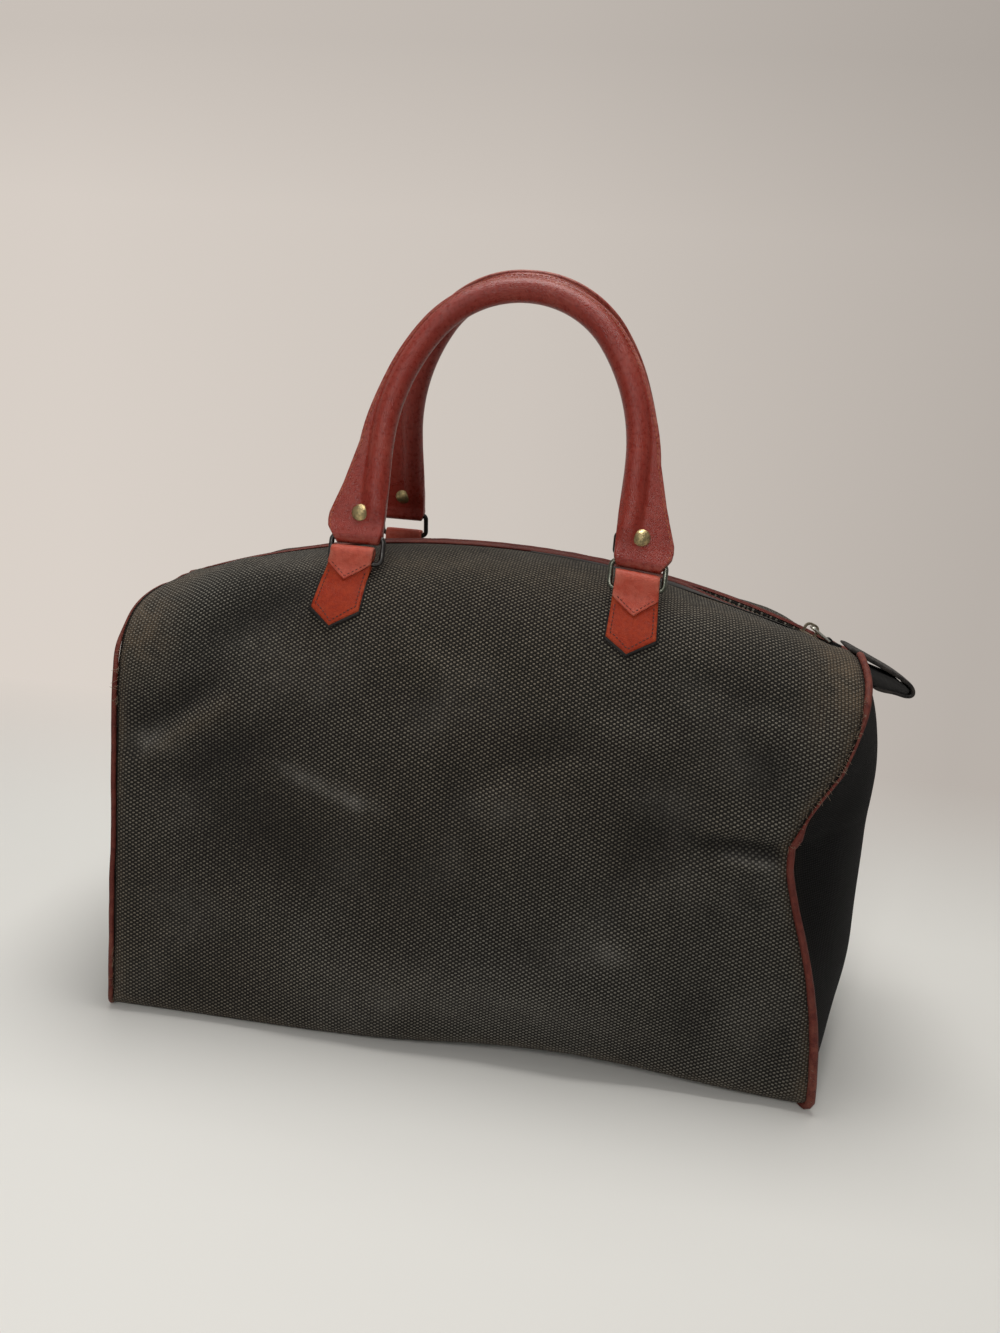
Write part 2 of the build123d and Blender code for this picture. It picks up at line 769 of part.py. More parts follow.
ring = wire_ring(ring_width, ring_height, ring_corner_radius, ring_wire_radius)
sleeve = handle_sleeve()
core = roll(handle_path(core_start), core_radius)
right_rivet = rivet()
for name, side in (("front", -1), ("back", 1)):
    ring_place, handle_place = place_set(side)
    save(handle_place * sleeve, f"{name}_handle_sleeve")
    save(handle_place * core, f"{name}_handle_core")
    for hand, x in (("left", -chape_x), ("right", chape_x)):
        lean = front_left_lean if name == "front" and hand == "left" else 0
        save(chape(x, side, lean), f"{name}_{hand}_chape")
        save(ring_place * Pos(-side * x, 0, 0) * ring, f"{name}_{hand}_ring")
        save(handle_place * Pos(-side * x - chape_x, 0, 0) * right_rivet, f"{name}_{hand}_rivet")
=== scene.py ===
import random
from math import asin, atan2, cos, exp, pi, radians, sin, sqrt

import bmesh
import bpy
import numpy as np
from mathutils import Matrix, Vector, noise


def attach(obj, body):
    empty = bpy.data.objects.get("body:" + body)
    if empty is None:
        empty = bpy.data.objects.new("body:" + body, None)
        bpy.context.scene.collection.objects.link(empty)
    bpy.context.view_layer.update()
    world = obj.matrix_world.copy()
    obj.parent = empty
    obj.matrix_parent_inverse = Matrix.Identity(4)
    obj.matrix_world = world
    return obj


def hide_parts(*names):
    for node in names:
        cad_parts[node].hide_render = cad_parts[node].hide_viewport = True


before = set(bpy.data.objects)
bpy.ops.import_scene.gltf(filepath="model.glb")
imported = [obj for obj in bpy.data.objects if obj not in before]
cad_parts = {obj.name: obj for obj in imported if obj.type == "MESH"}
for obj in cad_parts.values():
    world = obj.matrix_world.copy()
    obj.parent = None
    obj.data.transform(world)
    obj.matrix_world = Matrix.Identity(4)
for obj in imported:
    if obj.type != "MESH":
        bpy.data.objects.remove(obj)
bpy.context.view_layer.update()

# Carpet bag with a zip top. Sizes are in millimetres, and a piece is scaled to metres when its mesh is made.
MM = 0.001

# Shell, as in the frame's canvas body
base_half_depth = 105.0
wall = 2.0
base_fold_radius = 11.0
side_lean = 3.0
side_lean_z = 105.0
crown_height = 287.0
crown_arc_radius = 560.0
crown_arc_x = -10.0
crown_flat_half = 14.0
crown_arc_z = crown_height - crown_arc_radius
shoulder_reach_x = 200.0
shoulder_middle = [(69.0, 4.0), (43.0, 15.0), (25.0, 42.0), (11.0, 92.0)]
shoulder_end = [(69.0, -3.0), (40.0, 3.0), (20.0, 28.0), (9.0, 75.0)]
slot_half = 5.0
slot_closing = 8.0

# End panels
panel_wall = 1.6
panel_narrowing = 0.045
right_seam_x = 203.0
right_bulge = 32.0
right_bulge_height = 125.0
right_bulge_reach = 128.0
waist_depth = 28.0
waist_depth_back = 12.0
waist_height = 152.0
waist_spread = 58.0
left_seam_x = -205.0
left_bulge = 30.0
left_bulge_height = 112.0
left_bulge_reach = 140.0

# Shell grid
columns = 150
strip_rows = 4
side_rows = 100
fold_rows = 7
base_rows = 18
panel_rings = 44
column_pitch = 2.7
row_pitch = 2.9

# Weave, in millimetres to a thread
weave_across = 1.80
weave_down = 1.20
panel_weave = 1.3

# Folds and falls of the shell
shoulder_low_z = 190.0
shoulder_high_z = 225.0
front_fall = 1.75
front_fall_to_x = 135.0
front_fall_from_y = 9.0
front_fall_to_y = 26.0
front_rise = 1.6
far_fall = 7.0
left_fall = 5.5
# Dent depth at which a crease's painted shade is darkest
darkest_dent = 3.4
base_lift_height = 10.5
base_lift_x = 62.0
base_lift_spread = 88.0
panel_middle_z = 118.0

# The canvas's unevenness as height, size, and place in the noise
canvas_waves = [(1.7, 62, (0, 0, 0)), (0.8, 25, (9, 4, 1)), (0.35, 11, (2, 7, 5))]
seam_roll_in = 1.3
seam_roll_out = 0.9

# Piping
piping_radius = 2.0
piping_out = 2.4
piping_sides = 12

# Zip
tooth_pitch = 3.0
teeth_left_x = -196.0
teeth_right_x = 195.0
teeth_level = -2.7
teeth_out = 1.6
binding_width = 5.4
binding_left_x = -197.0
binding_right_x = 209.0
pressed_until_x = 100.0
open_from_x = 138.0
pressed_gap = 2.7
ridge_from = 5.1
binding_crest = 1.85
binding_stitch_in = 1.9
front_binding_low = 0.62
front_binding_low_x = (105, 150)
facing_left_x = 15.0
facing_right_x = 196.0
facing_width = 14.0
facing_from = 9.2

# Zip end tab
tab_ply = 2.7
tab_half_width = 13.0
tab_columns = 15
# Dark ribbed filling between the tab's plies, which stands in for the shadow in the gap (painted shade)
filler_shade_half_width = 12.2
filler_shade_rib = 0.3

# Chapes
chape_x = 79.5
chape_y = 61.5
chape_neck = 24.4
chape_width = 27.2
chape_ply = 2.4
chape_loop_z = 282.6
chape_tip_z = 243.0
chape_corner_z = 253.0
chape_pad_top_z = 268.0
chape_root_z = 258.0
ring_slack = 5.6
ring_wire_radius = 1.5
ring_play = 0.3
chape_lift = 2.9
pad_levels = (-2.4, -0.5)
# Black underlay a little wider than the pad: partly a real black layer, partly painted shadow under the pad's
# edge
underlay_shadow_levels = (-2.9, -1.3)
strap_end_levels = (-0.6, 0.9)
pad_stitch_level = -0.42
vee_stitch_level = 0.95
pad_stitch_in = 2.2
vee_depth = 9.0

# How each strap lies: its lean aside at lay_heights, the tilt of its top, and the height of its V's point
lay_heights = (243.0, 253.0, 268.0, 282.0)
chape_lays = {
    ("front", "left"): ((-8.0, -6.0, -4.6, -1.5), 0.0, 268.0),
    ("front", "right"): ((-2.3, -0.3, 0.0, 0.0), -0.10, 263.6),
}
plain_lay = ((0.0, 0.0, 0.0, 0.0), 0.0, 266.0)

# Handles
handle_cols = 30
handle_half_span = 73.0
handle_spring = 56.0
handle_rise = 96.7
handle_crown_radius = 62.0
handle_radius = 6.9
flange_lip = 3.4
flange_crown_lip = 0.9
flange_half_thickness = 1.5
end_half_thickness = 2.6
edge_rounding = 0.7
end_bottom = -4.4
end_inner = 14.2
end_outer = 18.5
end_top = 26.0
flap_shoulder = 15.0
flap_tip = 25.0
ring_height = 15.3
ring_tip_in = 4.0
handle_apex_y = 7.05
handle_seam_in = 1.9
right_end_tilt = 0.11
flap_bottom = 2.5
flap_thickness = 1.0

# Teeth and stitches as pitch, length, width and height
tooth_sizes = (tooth_pitch, 1.5, 2.4, 2.6)
handle_stitch_sizes = (3.1, 2.4, 0.55, 0.4)
chape_stitch_sizes = (2.3, 1.7, 0.6, 0.45)
edge_stitch_sizes = (2.8, 2.1, 0.45, 0.35)

# Room and lamps, in metres; a lamp is name, place, aim, size and power
room_light = 0.28
lamps = [
    ("top_softbox", (0.0, 0.12, 1.5), (0.0, 0.0, 0.15), 0.8, 15.5),
    ("front_softbox", (-0.15, -1.3, 0.95), (0.0, -0.1, 0.18), 0.32, 6.5),
]
gradient_from = (0.07, -0.607, 0.353)
room_half_width = 9.0
room_front_y = -9.0
room_height = 5.0
curve_start = 0.9
curve_radius = 1.2
# Floor colour, a little darker towards the right: a painted fall of light
floor_left = (0.74, 0.73, 0.70)
floor_right = (0.70, 0.69, 0.66)
lamp_colour = (1.0, 0.985, 0.96)
room_colour = (1.0, 0.985, 0.965, 1)

# Camera of the photograph
camera_place = (70.558, -607.488, 352.981)
camera_yaw = -6.56
camera_pitch = 13.04
camera_roll = 4.58
camera_focal = 990.0
image_height = 1333.0
sensor_long_side = 36.0


def add_camera():
    yaw, pitch, roll = radians(camera_yaw), radians(camera_pitch), radians(camera_roll)
    ahead = Vector((sin(yaw) * cos(pitch), cos(yaw) * cos(pitch), -sin(pitch)))
    right = Vector((cos(yaw), -sin(yaw), 0))
    up = right.cross(ahead)
    right, up = right * cos(roll) + up * sin(roll), up * cos(roll) - right * sin(roll)
    camera = placed("camera", bpy.data.cameras.new("camera"))
    camera.data.lens = camera_focal / image_height * sensor_long_side
    camera.data.sensor_width = sensor_long_side
    camera.data.clip_start = 0.01
    camera.matrix_world = Matrix.Translation(Vector(camera_place) * MM) @ Matrix(
        (right, up, -ahead)
    ).transposed().to_4x4()
    bpy.context.scene.camera = camera


# Materials

class Nodes:
    """Short hand for building one material's nodes."""

    def __init__(self, name):
        self.material = bpy.data.materials.new(name)
        self.material.use_nodes = True
        self.tree = self.material.node_tree
        self.shader = self.tree.nodes["Principled BSDF"]

    def add(self, kind, **inputs):
        node = self.tree.nodes.new(kind)
        for key, value in inputs.items():
            self.feed(node, key, value)
        return node

    def feed(self, node, key, value):
        socket = node.inputs[int(key[1:])] if key[0] == "i" and key[1:].isdigit() else node.inputs[key]
        if isinstance(value, bpy.types.NodeSocket):
            self.tree.links.new(value, socket)
        else:
            socket.default_value = value

    def math(self, operation, a, b=0.0, c=0.0, clamp=False):
        node = self.add("ShaderNodeMath", i0=a, i1=b, i2=c)
        node.operation = operation
        node.use_clamp = clamp
        return node.outputs[0]

    def times(self, a, b, clamp=False):
        return self.math("MULTIPLY", a, b, clamp=clamp)

    def plus(self, a, b, clamp=False):
        return self.math("ADD", a, b, clamp=clamp)

    def ripple(self, value):
        """Rises from 0 to 1 and falls back over every unit of value."""
        return self.math("ABSOLUTE", self.math("SINE", self.times(value, pi)))

    def weave(self):
        """A cloth piece's own coordinates across and along its threads."""
        uv = self.tree.nodes.new("ShaderNodeUVMap")
        uv.uv_map = "weave"
        split = self.add("ShaderNodeSeparateXYZ", Vector=uv.outputs[0])
        return split.outputs[0], split.outputs[1]

    def ramp(self, value, low, high, out_low=0.0, out_high=1.0):
        """Value from low to high becomes out_low to out_high, held at both ends."""
        node = self.add("ShaderNodeMapRange", Value=value)
        for key, number in (("From Min", low), ("From Max", high), ("To Min", out_low), ("To Max", out_high)):
            node.inputs[key].default_value = number
        return node.outputs["Result"]

    def mix(self, share, first, second):
        node = self.tree.nodes.new("ShaderNodeMix")
        node.data_type = "RGBA"
        self.feed(node, "i0", share)
        for index, value in ((6, first), (7, second)):
            if isinstance(value, bpy.types.NodeSocket):
                self.tree.links.new(value, node.inputs[index])
            else:
                node.inputs[index].default_value = (*value, 1)
        return node.outputs[2]

    def place(self):
        return self.add("ShaderNodeTexCoord").outputs["Object"]

    def attribute(self, name):
        node = self.tree.nodes.new("ShaderNodeAttribute")
        node.attribute_name = name
        return node.outputs["Fac"]

    def noise(self, scale, detail=3.0, distortion=0.0, roughness=0.5):
        node = self.add("ShaderNodeTexNoise", Scale=scale, Detail=detail, Distortion=distortion,
                        Roughness=roughness, Vector=self.place())
        return node.outputs["Fac"]

    def cells(self, scale):
        return self.add("ShaderNodeTexVoronoi", Scale=scale, Vector=self.place()).outputs["Distance"]

    def bump(self, height, depth, strength=1.0, normal=None):
        node = self.add("ShaderNodeBump", Height=height, Distance=depth, Strength=strength)
        if normal is not None:
            self.feed(node, "Normal", normal)
        return node.outputs["Normal"]

    def finish(self, **inputs):
        for key, value in inputs.items():
            socket = self.shader.inputs[key.replace("_", " ")]
            if isinstance(value, bpy.types.NodeSocket):
                self.tree.links.new(value, socket)
            elif isinstance(value, tuple):
                socket.default_value = (*value, 1)
            else:
                socket.default_value = value
        return self.material


def canvas_material():
    """Coarse weave: every other cell of a chequered pattern carries a light thread crown on a dark ground."""
    n = Nodes("charcoal_canvas")
    across, along = n.weave()
    across = n.math("MULTIPLY_ADD", n.noise(20.0, 2.0), 1.2, across)
    along = n.math("MULTIPLY_ADD", n.noise(18.0, 2.0, distortion=0.5), 1.2, along)
    column = n.math("FLOOR", across)
    row = n.math("FLOOR", along)
    odd = n.math("MODULO", n.math("ABSOLUTE", n.plus(column, row)), 2.0)
    crown = n.times(n.math("POWER", n.ripple(across), 0.9), n.math("POWER", n.ripple(along), 0.8))
    level = n.times(crown, n.ramp(odd, 0.0, 1.0, 0.05, 1.0))
    cell = n.add("ShaderNodeCombineXYZ", X=column, Y=row)
    uneven = n.add("ShaderNodeTexWhiteNoise", Vector=cell.outputs[0])
    uneven.noise_dimensions = "2D"
    fibre = n.noise(2600.0, 2.0)
    light = n.times(level, n.ramp(uneven.outputs["Value"], 0.0, 1.0, 0.75, 1.30))
    light = n.times(light, n.ramp(fibre, 0.2, 0.8, 0.8, 1.25))
    light = n.times(light, n.ramp(n.noise(9.0, 4.0, roughness=0.6), 0.3, 0.7, 0.75, 1.25))
    # Painted shade and highlight: thread crowns darken in crease hollows and lighten on ridges, following the
    # shade attribute
    light = n.times(light, n.ramp(n.attribute("shade"), -0.7, 1.0, 1.35, 0.48))
    warm = n.mix(n.ramp(n.noise(5.0, 2.0), 0.35, 0.65), (0.205, 0.176, 0.134), (0.188, 0.176, 0.147))
    thread = n.mix(light, (0.0042, 0.0036, 0.0033), warm)
    wear = n.attribute("wear")
    rubbed = n.times(wear, n.ramp(crown, 0.1, 0.8, 0.25, 1.0), clamp=True)
    rubbed = n.times(rubbed, n.ramp(n.noise(120.0, 3.0), 0.35, 0.6, 0.35, 1.0))
    thread = n.mix(n.times(rubbed, 0.60), thread, (0.170, 0.120, 0.075))
    dust = n.attribute("dust")
    dusty = n.times(dust, n.ramp(n.noise(60.0, 4.0, roughness=0.7), 0.35, 0.7, 0.2, 1.0))
    dusty = n.times(dusty, n.ramp(level, 0.0, 0.7, 0.25, 1.0), clamp=True)
    thread = n.mix(n.times(dusty, 0.8), thread, (0.380, 0.360, 0.330))
    height = n.plus(level, n.times(fibre, 0.25))
    rough = n.ramp(crown, 0.0, 1.0, 0.95, 0.78)
    return n.finish(Base_Color=thread, Roughness=rough, Normal=n.bump(height, 0.0008, 1.0),
                    Sheen_Weight=0.03, Sheen_Roughness=0.5, Specular_IOR_Level=0.16)


def end_cloth_material():
    """Near-black, finer and smoother cloth, lighter towards the foot and darker towards the top."""
    n = Nodes("black_end_cloth")
    across, along = n.weave()
    crown = n.times(n.ripple(across), n.ripple(along))
    fibre = n.noise(1800.0, 2.0)
    light = n.times(crown, n.plus(0.5, fibre))
    light = n.times(light, n.ramp(n.noise(12.0, 4.0), 0.3, 0.7, 0.5, 1.3))
    height = n.add("ShaderNodeSeparateXYZ", Vector=n.place()).outputs[2]
    # Lighter towards the foot and darker towards the top
    light = n.times(light, n.ramp(height, 0.03, 0.20, 1.7, 0.6))
    colour = n.mix(light, (0.0014, 0.0013, 0.0013), (0.0082, 0.0077, 0.0074))
    wear = n.times(n.attribute("wear"), n.ramp(crown, 0.1, 0.8, 0.3, 1.0), clamp=True)
    colour = n.mix(n.times(wear, 0.20), colour, (0.090, 0.068, 0.048))
    return n.finish(Base_Color=colour, Roughness=n.ramp(fibre, 0.3, 0.7, 0.78, 0.92),
                    Normal=n.bump(crown, 0.0004, 0.7), Sheen_Weight=0.02, Sheen_Roughness=0.4,
                    Specular_IOR_Level=0.08)


def facing_material():
    """Smooth dark grey facing beside the zip."""
    n = Nodes("grey_facing")
    fibre = n.noise(1500.0, 3.0)
    blotch = n.noise(30.0, 4.0)
    colour = n.mix(n.ramp(blotch, 0.3, 0.7), (0.016, 0.014, 0.013), (0.036, 0.032, 0.028))
    return n.finish(Base_Color=colour, Roughness=0.75, Normal=n.bump(fibre, 0.0002, 0.5), Sheen_Weight=0.03,
                    Specular_IOR_Level=0.3)


def leather_material(name, dark, mid, light, roughness, grain_scale, grain_depth, worn, specular,
                     sparkle=0.0):
    """Grained leather: pebbled bump, cloudy colour, and a worn tone where the wear attribute is high."""
    n = Nodes(name)
    cloudy = n.noise(38.0, 5.0, roughness=0.6)
    fine = n.noise(420.0, 3.0)
    pebble = n.cells(grain_scale)
    small = n.cells(grain_scale * 2.3)
    colour = n.mix(n.ramp(cloudy, 0.3, 0.7), mid, light)
    colour = n.mix(n.ramp(fine, 0.35, 0.7, 0.3, 0.0), colour, dark)
    wear = n.attribute("wear")
    broken = n.times(wear, n.ramp(n.noise(210.0, 4.0, roughness=0.7), 0.38, 0.62), clamp=True)
    colour = n.mix(broken, colour, worn)
    height = n.plus(n.ramp(pebble, 0.0, 0.6), n.times(n.ramp(small, 0.0, 0.6), 0.5))
    height = n.plus(height, n.times(fine, 0.8))
    rough = n.plus(n.ramp(fine, 0.35, 0.65, roughness - 0.07, roughness + 0.1), n.times(broken, 0.25))
    normal = n.bump(height, grain_depth, 0.55)
    if sparkle:
        normal = n.bump(n.noise(1900.0, 1.0), 0.00012, sparkle, normal)
    return n.finish(Base_Color=colour, Roughness=rough, Normal=normal, Specular_IOR_Level=specular)


def metal_material(name, colour, stain, roughness, stain_share, scale=260.0):
    """Metal with blotches of tarnish."""
    n = Nodes(name)
    blotch = n.ramp(n.noise(scale, 5.0, roughness=0.65), 0.42, 0.62)
    amount = n.times(blotch, stain_share)
    fine = n.noise(900.0, 3.0)
    tone = n.mix(amount, colour, stain)
    rough = n.plus(n.ramp(fine, 0.3, 0.7, roughness - 0.06, roughness + 0.08), n.times(amount, 0.22))
    height = n.plus(fine, n.times(blotch, 1.4))
    return n.finish(Base_Color=tone, Roughness=rough, Metallic=1.0, Normal=n.bump(height, 0.00010, 0.5))


def ribbed_material(name, dark, light, scale, distortion, roughness, depth, strength):
    """Cloth, cord or thread with a fine rib or twist that is dark in its grooves."""
    n = Nodes(name)
    rib = n.add("ShaderNodeTexWave", Scale=scale, Distortion=distortion, Vector=n.place()).outputs["Fac"]
    return n.finish(Base_Color=n.mix(rib, dark, light), Roughness=roughness,
                    Normal=n.bump(rib, depth, strength))


def thread_material(name, colour):
    """Waxed sewing thread, with its twist as a fine bump."""
    dark = tuple(0.55 * c for c in colour)
    return ribbed_material(name, dark, colour, 900.0, 1.5, 0.62, 0.0001, 0.5)


# Meshes

def placed(name, data):
    """A new object in the scene."""
    item = bpy.data.objects.new(name, data)
    bpy.context.scene.collection.objects.link(item)
    return item


def piece(name, points, faces, material, body, uv=None, values=None):
    """A mended mesh from points in millimetres, riding on a body and painted with one material."""
    mesh = bpy.data.meshes.new(name)
    mesh.from_pydata([tuple(p) for p in (np.asarray(points, float) * MM)], [], faces)
    if uv is not None:
        layer = mesh.uv_layers.new(name="weave")
        loops = np.empty(len(mesh.loops), int)
        mesh.loops.foreach_get("vertex_index", loops)
        layer.data.foreach_set("uv", np.asarray(uv, float)[loops].ravel())
    for key, value in (values or {}).items():
        mesh.attributes.new(key, "FLOAT", "POINT").data.foreach_set("value", np.asarray(value, np.float32))
    mesh.polygons.foreach_set("use_smooth", [True] * len(mesh.polygons))
    mesh.materials.append(material)
    item = placed(name, mesh)
    mend(item)
    dress(item, body)
    return item


def dress(item, body):
    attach(item, body)


def mend(item):
    """Merges doubled points and turns the faces outwards."""
    shape = bmesh.new()
    shape.from_mesh(item.data)
    bmesh.ops.remove_doubles(shape, verts=shape.verts, dist=1e-6)
    bmesh.ops.recalc_face_normals(shape, faces=shape.faces)
    shape.to_mesh(item.data)
    shape.free()


def applied(item):
    """Replaces an object's mesh with what its modifiers make, and drops the modifiers."""
    bpy.context.view_layer.update()
    graph = bpy.context.evaluated_depsgraph_get()
    mesh = bpy.data.meshes.new_from_object(item.evaluated_get(graph))
    item.modifiers.clear()
    item.data = mesh


def thicken(item, thickness):
    """Gives a sheet its wall, inwards from its outer face."""
    solidify = item.modifiers.new("wall", "SOLIDIFY")
    solidify.thickness = thickness * MM
    solidify.offset = -1
    applied(item)


def grid_faces(rows, cols, loop_rows=False, loop_cols=False, flip=False):
    """Quads of a grid whose points run row by row."""
    faces = []
    for i in range(rows if loop_rows else rows - 1):
        for j in range(cols if loop_cols else cols - 1):
            i2 = (i + 1) % rows
            j2 = (j + 1) % cols
            quad = (i * cols + j, i * cols + j2, i2 * cols + j2, i2 * cols + j)
            faces.append(quad[::-1] if flip else quad)
    return faces


def loft_faces(count, size):
    """Faces of count loops of size points each, joined in a row and capped at both ends."""
    faces = grid_faces(count, size, loop_cols=True)
    return faces + [tuple(range(size))[::-1], tuple(range((count - 1) * size, count * size))]


def tube(path, radius, sides, closed=False):
    """Points and faces of a tube along a path, capped at its ends. Radius may be a list."""
    path = [Vector(p) for p in path]
    count = len(path)
    radii = radius if hasattr(radius, "__len__") else [radius] * count
    points = []
    normal = None
    for i, here in enumerate(path):
        ahead = path[(i + 1) % count] if closed or i < count - 1 else here
        behind = path[i - 1] if closed or i > 0 else here
        tangent = (ahead - behind).normalized()
        if normal is None:
            normal = tangent.orthogonal().normalized()
        normal = (normal - tangent * normal.dot(tangent)).normalized()
        side = tangent.cross(normal)
        for k in range(sides):
            turn = 2 * pi * k / sides
            points.append(here + (normal * cos(turn) + side * sin(turn)) * radii[i])
    if closed:
        return points, grid_faces(count, sides, loop_rows=True, loop_cols=True)
    return points, loft_faces(count, sides)


def unit_rows(rows):
    return rows / np.linalg.norm(rows, axis=1, keepdims=True)


def smooth_step(value, low, high):
    t = np.clip((value - low) / (high - low), 0, 1)
    return t * t * (3 - 2 * t)


# Shell surface

def crown_z(x):
    return crown_arc_z + sqrt(crown_arc_radius**2 - (x - crown_arc_x) ** 2)


def clamped_spline(points, start_slope, end_slope, count):
    """Samples, evenly spaced, of the smooth curve through points with given end directions."""
    p = np.array(points, float)
    t = np.concatenate([[0], np.cumsum(np.hypot(*np.diff(p, axis=0).T))])
    h = np.diff(t)
    size = len(p)
    a = np.zeros((size, size))
    b = np.zeros((size, 2))
    a[0, 0] = a[-1, -1] = 1
    b[0], b[-1] = start_slope, end_slope
    for i in range(1, size - 1):
        a[i, i - 1], a[i, i], a[i, i + 1] = h[i], 2 * (h[i - 1] + h[i]), h[i - 1]
        b[i] = 3 * (h[i] / h[i - 1] * (p[i] - p[i - 1]) + h[i - 1] / h[i] * (p[i + 1] - p[i]))
    slopes = np.linalg.solve(a, b)
    fine = np.linspace(0, t[-1], 30 * size)
    k = np.clip(np.searchsorted(t, fine, side="right") - 1, 0, size - 2)
    s = ((fine - t[k]) / h[k])[:, None]
    curve = ((1 + 2 * s) * (1 - s) ** 2 * p[k] + s * (1 - s) ** 2 * h[k][:, None] * slopes[k]
             + s**2 * (3 - 2 * s) * p[k + 1] + s**2 * (s - 1) * h[k][:, None] * slopes[k + 1])
    length = np.concatenate([[0], np.cumsum(np.hypot(*np.diff(curve, axis=0).T))])
    even = np.linspace(0, length[-1], count)
    return np.stack([np.interp(even, length, curve[:, 0]), np.interp(even, length, curve[:, 1])], 1)


def half_points(x):
    """Points of one side of the shell at x, from the crown strip to the base fold, as (out, z)."""
    blend = (x / shoulder_reach_x) ** 2
    top = crown_z(x)
    points = [(crown_flat_half, top)]
    for (in_m, drop_m), (in_e, drop_e) in zip(shoulder_middle, shoulder_end):
        inset = in_m + (in_e - in_m) * blend
        points.append((base_half_depth - inset, top - drop_m - (drop_e - drop_m) * blend))
    points.append((base_half_depth - side_lean, side_lean_z))
    points.append((base_half_depth, base_fold_radius))
    return points


def half_section(x, inner):
    """Evenly sampled half section at x, from inner beside the zip to the middle of the base, as (out, z)."""
    top = crown_z(x)
    strip = [(inner + (crown_flat_half - inner) * i / strip_rows, top) for i in range(strip_rows)]
    side = clamped_spline(half_points(x), (1, 0), (0, -1), side_rows)
    fold = []
    for i in range(1, fold_rows + 1):
        turn = pi / 2 * i / fold_rows
        out = base_half_depth - base_fold_radius * (1 - cos(turn))
        fold.append((out, base_fold_radius * (1 - sin(turn))))
    reach = base_half_depth - base_fold_radius
    base = [(reach * (1 - i / base_rows), 0.0) for i in range(1, base_rows + 1)]
    return np.array([*strip, *side, *fold, *base])


def slab(outer, inner):
    """Closed sheet between two grids of points shaped (rows, columns, 3)."""
    rows, cols = outer.shape[:2]
    count = rows * cols
    faces = grid_faces(rows, cols)
    faces += [tuple(v + count for v in quad[::-1]) for quad in faces]
    border = [(0, j) for j in range(cols)] + [(i, cols - 1) for i in range(1, rows)]
    border += [(rows - 1, j) for j in range(cols - 2, -1, -1)] + [(i, 0) for i in range(rows - 2, 0, -1)]
    ids = [i * cols + j for i, j in border]
    faces += [(a, a + count, b + count, b) for a, b in zip(ids, ids[1:] + ids[:1])]
    return np.concatenate([outer.reshape(-1, 3), inner.reshape(-1, 3)]), faces


def warp(points):
    """Rise and fall of the crown near its ends, and where the zip's two sides part."""
    x, y, z = points.T
    high = smooth_step(z, shoulder_low_z, shoulder_high_z)
    front = front_rise * smooth_step(x, 140, 182) * np.exp(-(((y + 40) / 20) ** 2))
    far = -far_fall * smooth_step(x, 165, 205) * np.exp(-(((y - 48) / 30) ** 2)) * smooth_step(y, 10, 30)
    left = -left_fall * smooth_step(-x, 150, 203) * smooth_step(np.abs(y), 8, 40)
    moved = points.copy()
    moved[:, 2] += high * (front + far + left + valley(x, y))
    return moved


def valley(x, y):
    """Fall of the front's edge beside the zip."""
    along = smooth_step(x, pressed_until_x, front_fall_to_x)
    return -front_fall * along * (1 - smooth_step(-y, front_fall_from_y, front_fall_to_y)) * (y < 0)


# Sway of the right seam on the front side, as heights and moves to the right
sway_heights = [0, 2.5, 5, 37, 68, 126, 147, 153, 158, 171, 195, 215, 232, 250]
sway_moves = [-4.0, -1.0, 1.0, -0.6, -3.0, -3.0, -3.6, -4.2, -2.0, -1.2, 3.7, 1.5, -1.0, -1.5]


def right_end_x(y, z):
    depth = np.where(y < 0, waist_depth, waist_depth_back)
    pinch = np.exp(-(((z - waist_height) / waist_spread) ** 2))
    share = np.minimum(1.0, np.abs(y) / base_half_depth) ** 2
    seam = right_seam_x - depth * pinch * share + np.interp(z, sway_heights, sway_moves) * share * (y < 0)
    dome = 1 - ((z - right_bulge_height) / right_bulge_reach) ** 4
    across = 1 - (y / (base_half_depth - panel_narrowing * z)) ** 2
    return seam + right_bulge * dome * across


def left_end_x(y, z):
    dome = 1 - ((z - left_bulge_height) / left_bulge_reach) ** 4
    across = 1 - (y / (base_half_depth - panel_narrowing * z)) ** 2
    return left_seam_x - left_bulge * dome * across


def gap_at(x):
    """Half width of the zip's slot at x, closing at the left end of the bag."""
    return 0.05 + (slot_half - 0.05) * smooth_step(x, left_seam_x, left_seam_x + slot_closing)


section_cache = {}


def section_at(x, side):
    """Half section at x as (x, y, z) rows on one side; side is -1 at the front and 1 at the back."""
    key = round(float(x), 1)
    if key not in section_cache:
        section_cache[key] = half_section(key, float(gap_at(key)))
    flat = section_cache[key]
    return np.stack([np.full(len(flat), key), side * flat[:, 0], flat[:, 1]], 1)


def rim(end_x, side, start):
    """Where a half section meets an end's sheet, row by row."""
    rows = section_at(start, side)
    xs = end_x(rows[:, 1], rows[:, 2])
    for _ in range(4):
        out = np.array([section_at(x, side)[k, 1:] for k, x in enumerate(xs)])
        xs = end_x(out[:, 0], out[:, 1])
    return np.column_stack([xs, out])


def around(front, back):
    """Rows of the front half followed by those of the back half, in one run round the bag."""
    return np.concatenate([front, back[-2::-1]])


rims = {}
for end_name, end_x, start in (("left", left_end_x, left_seam_x), ("right", right_end_x, right_seam_x)):
    rims[end_name] = around(rim(end_x, -1, start), rim(end_x, 1, start))


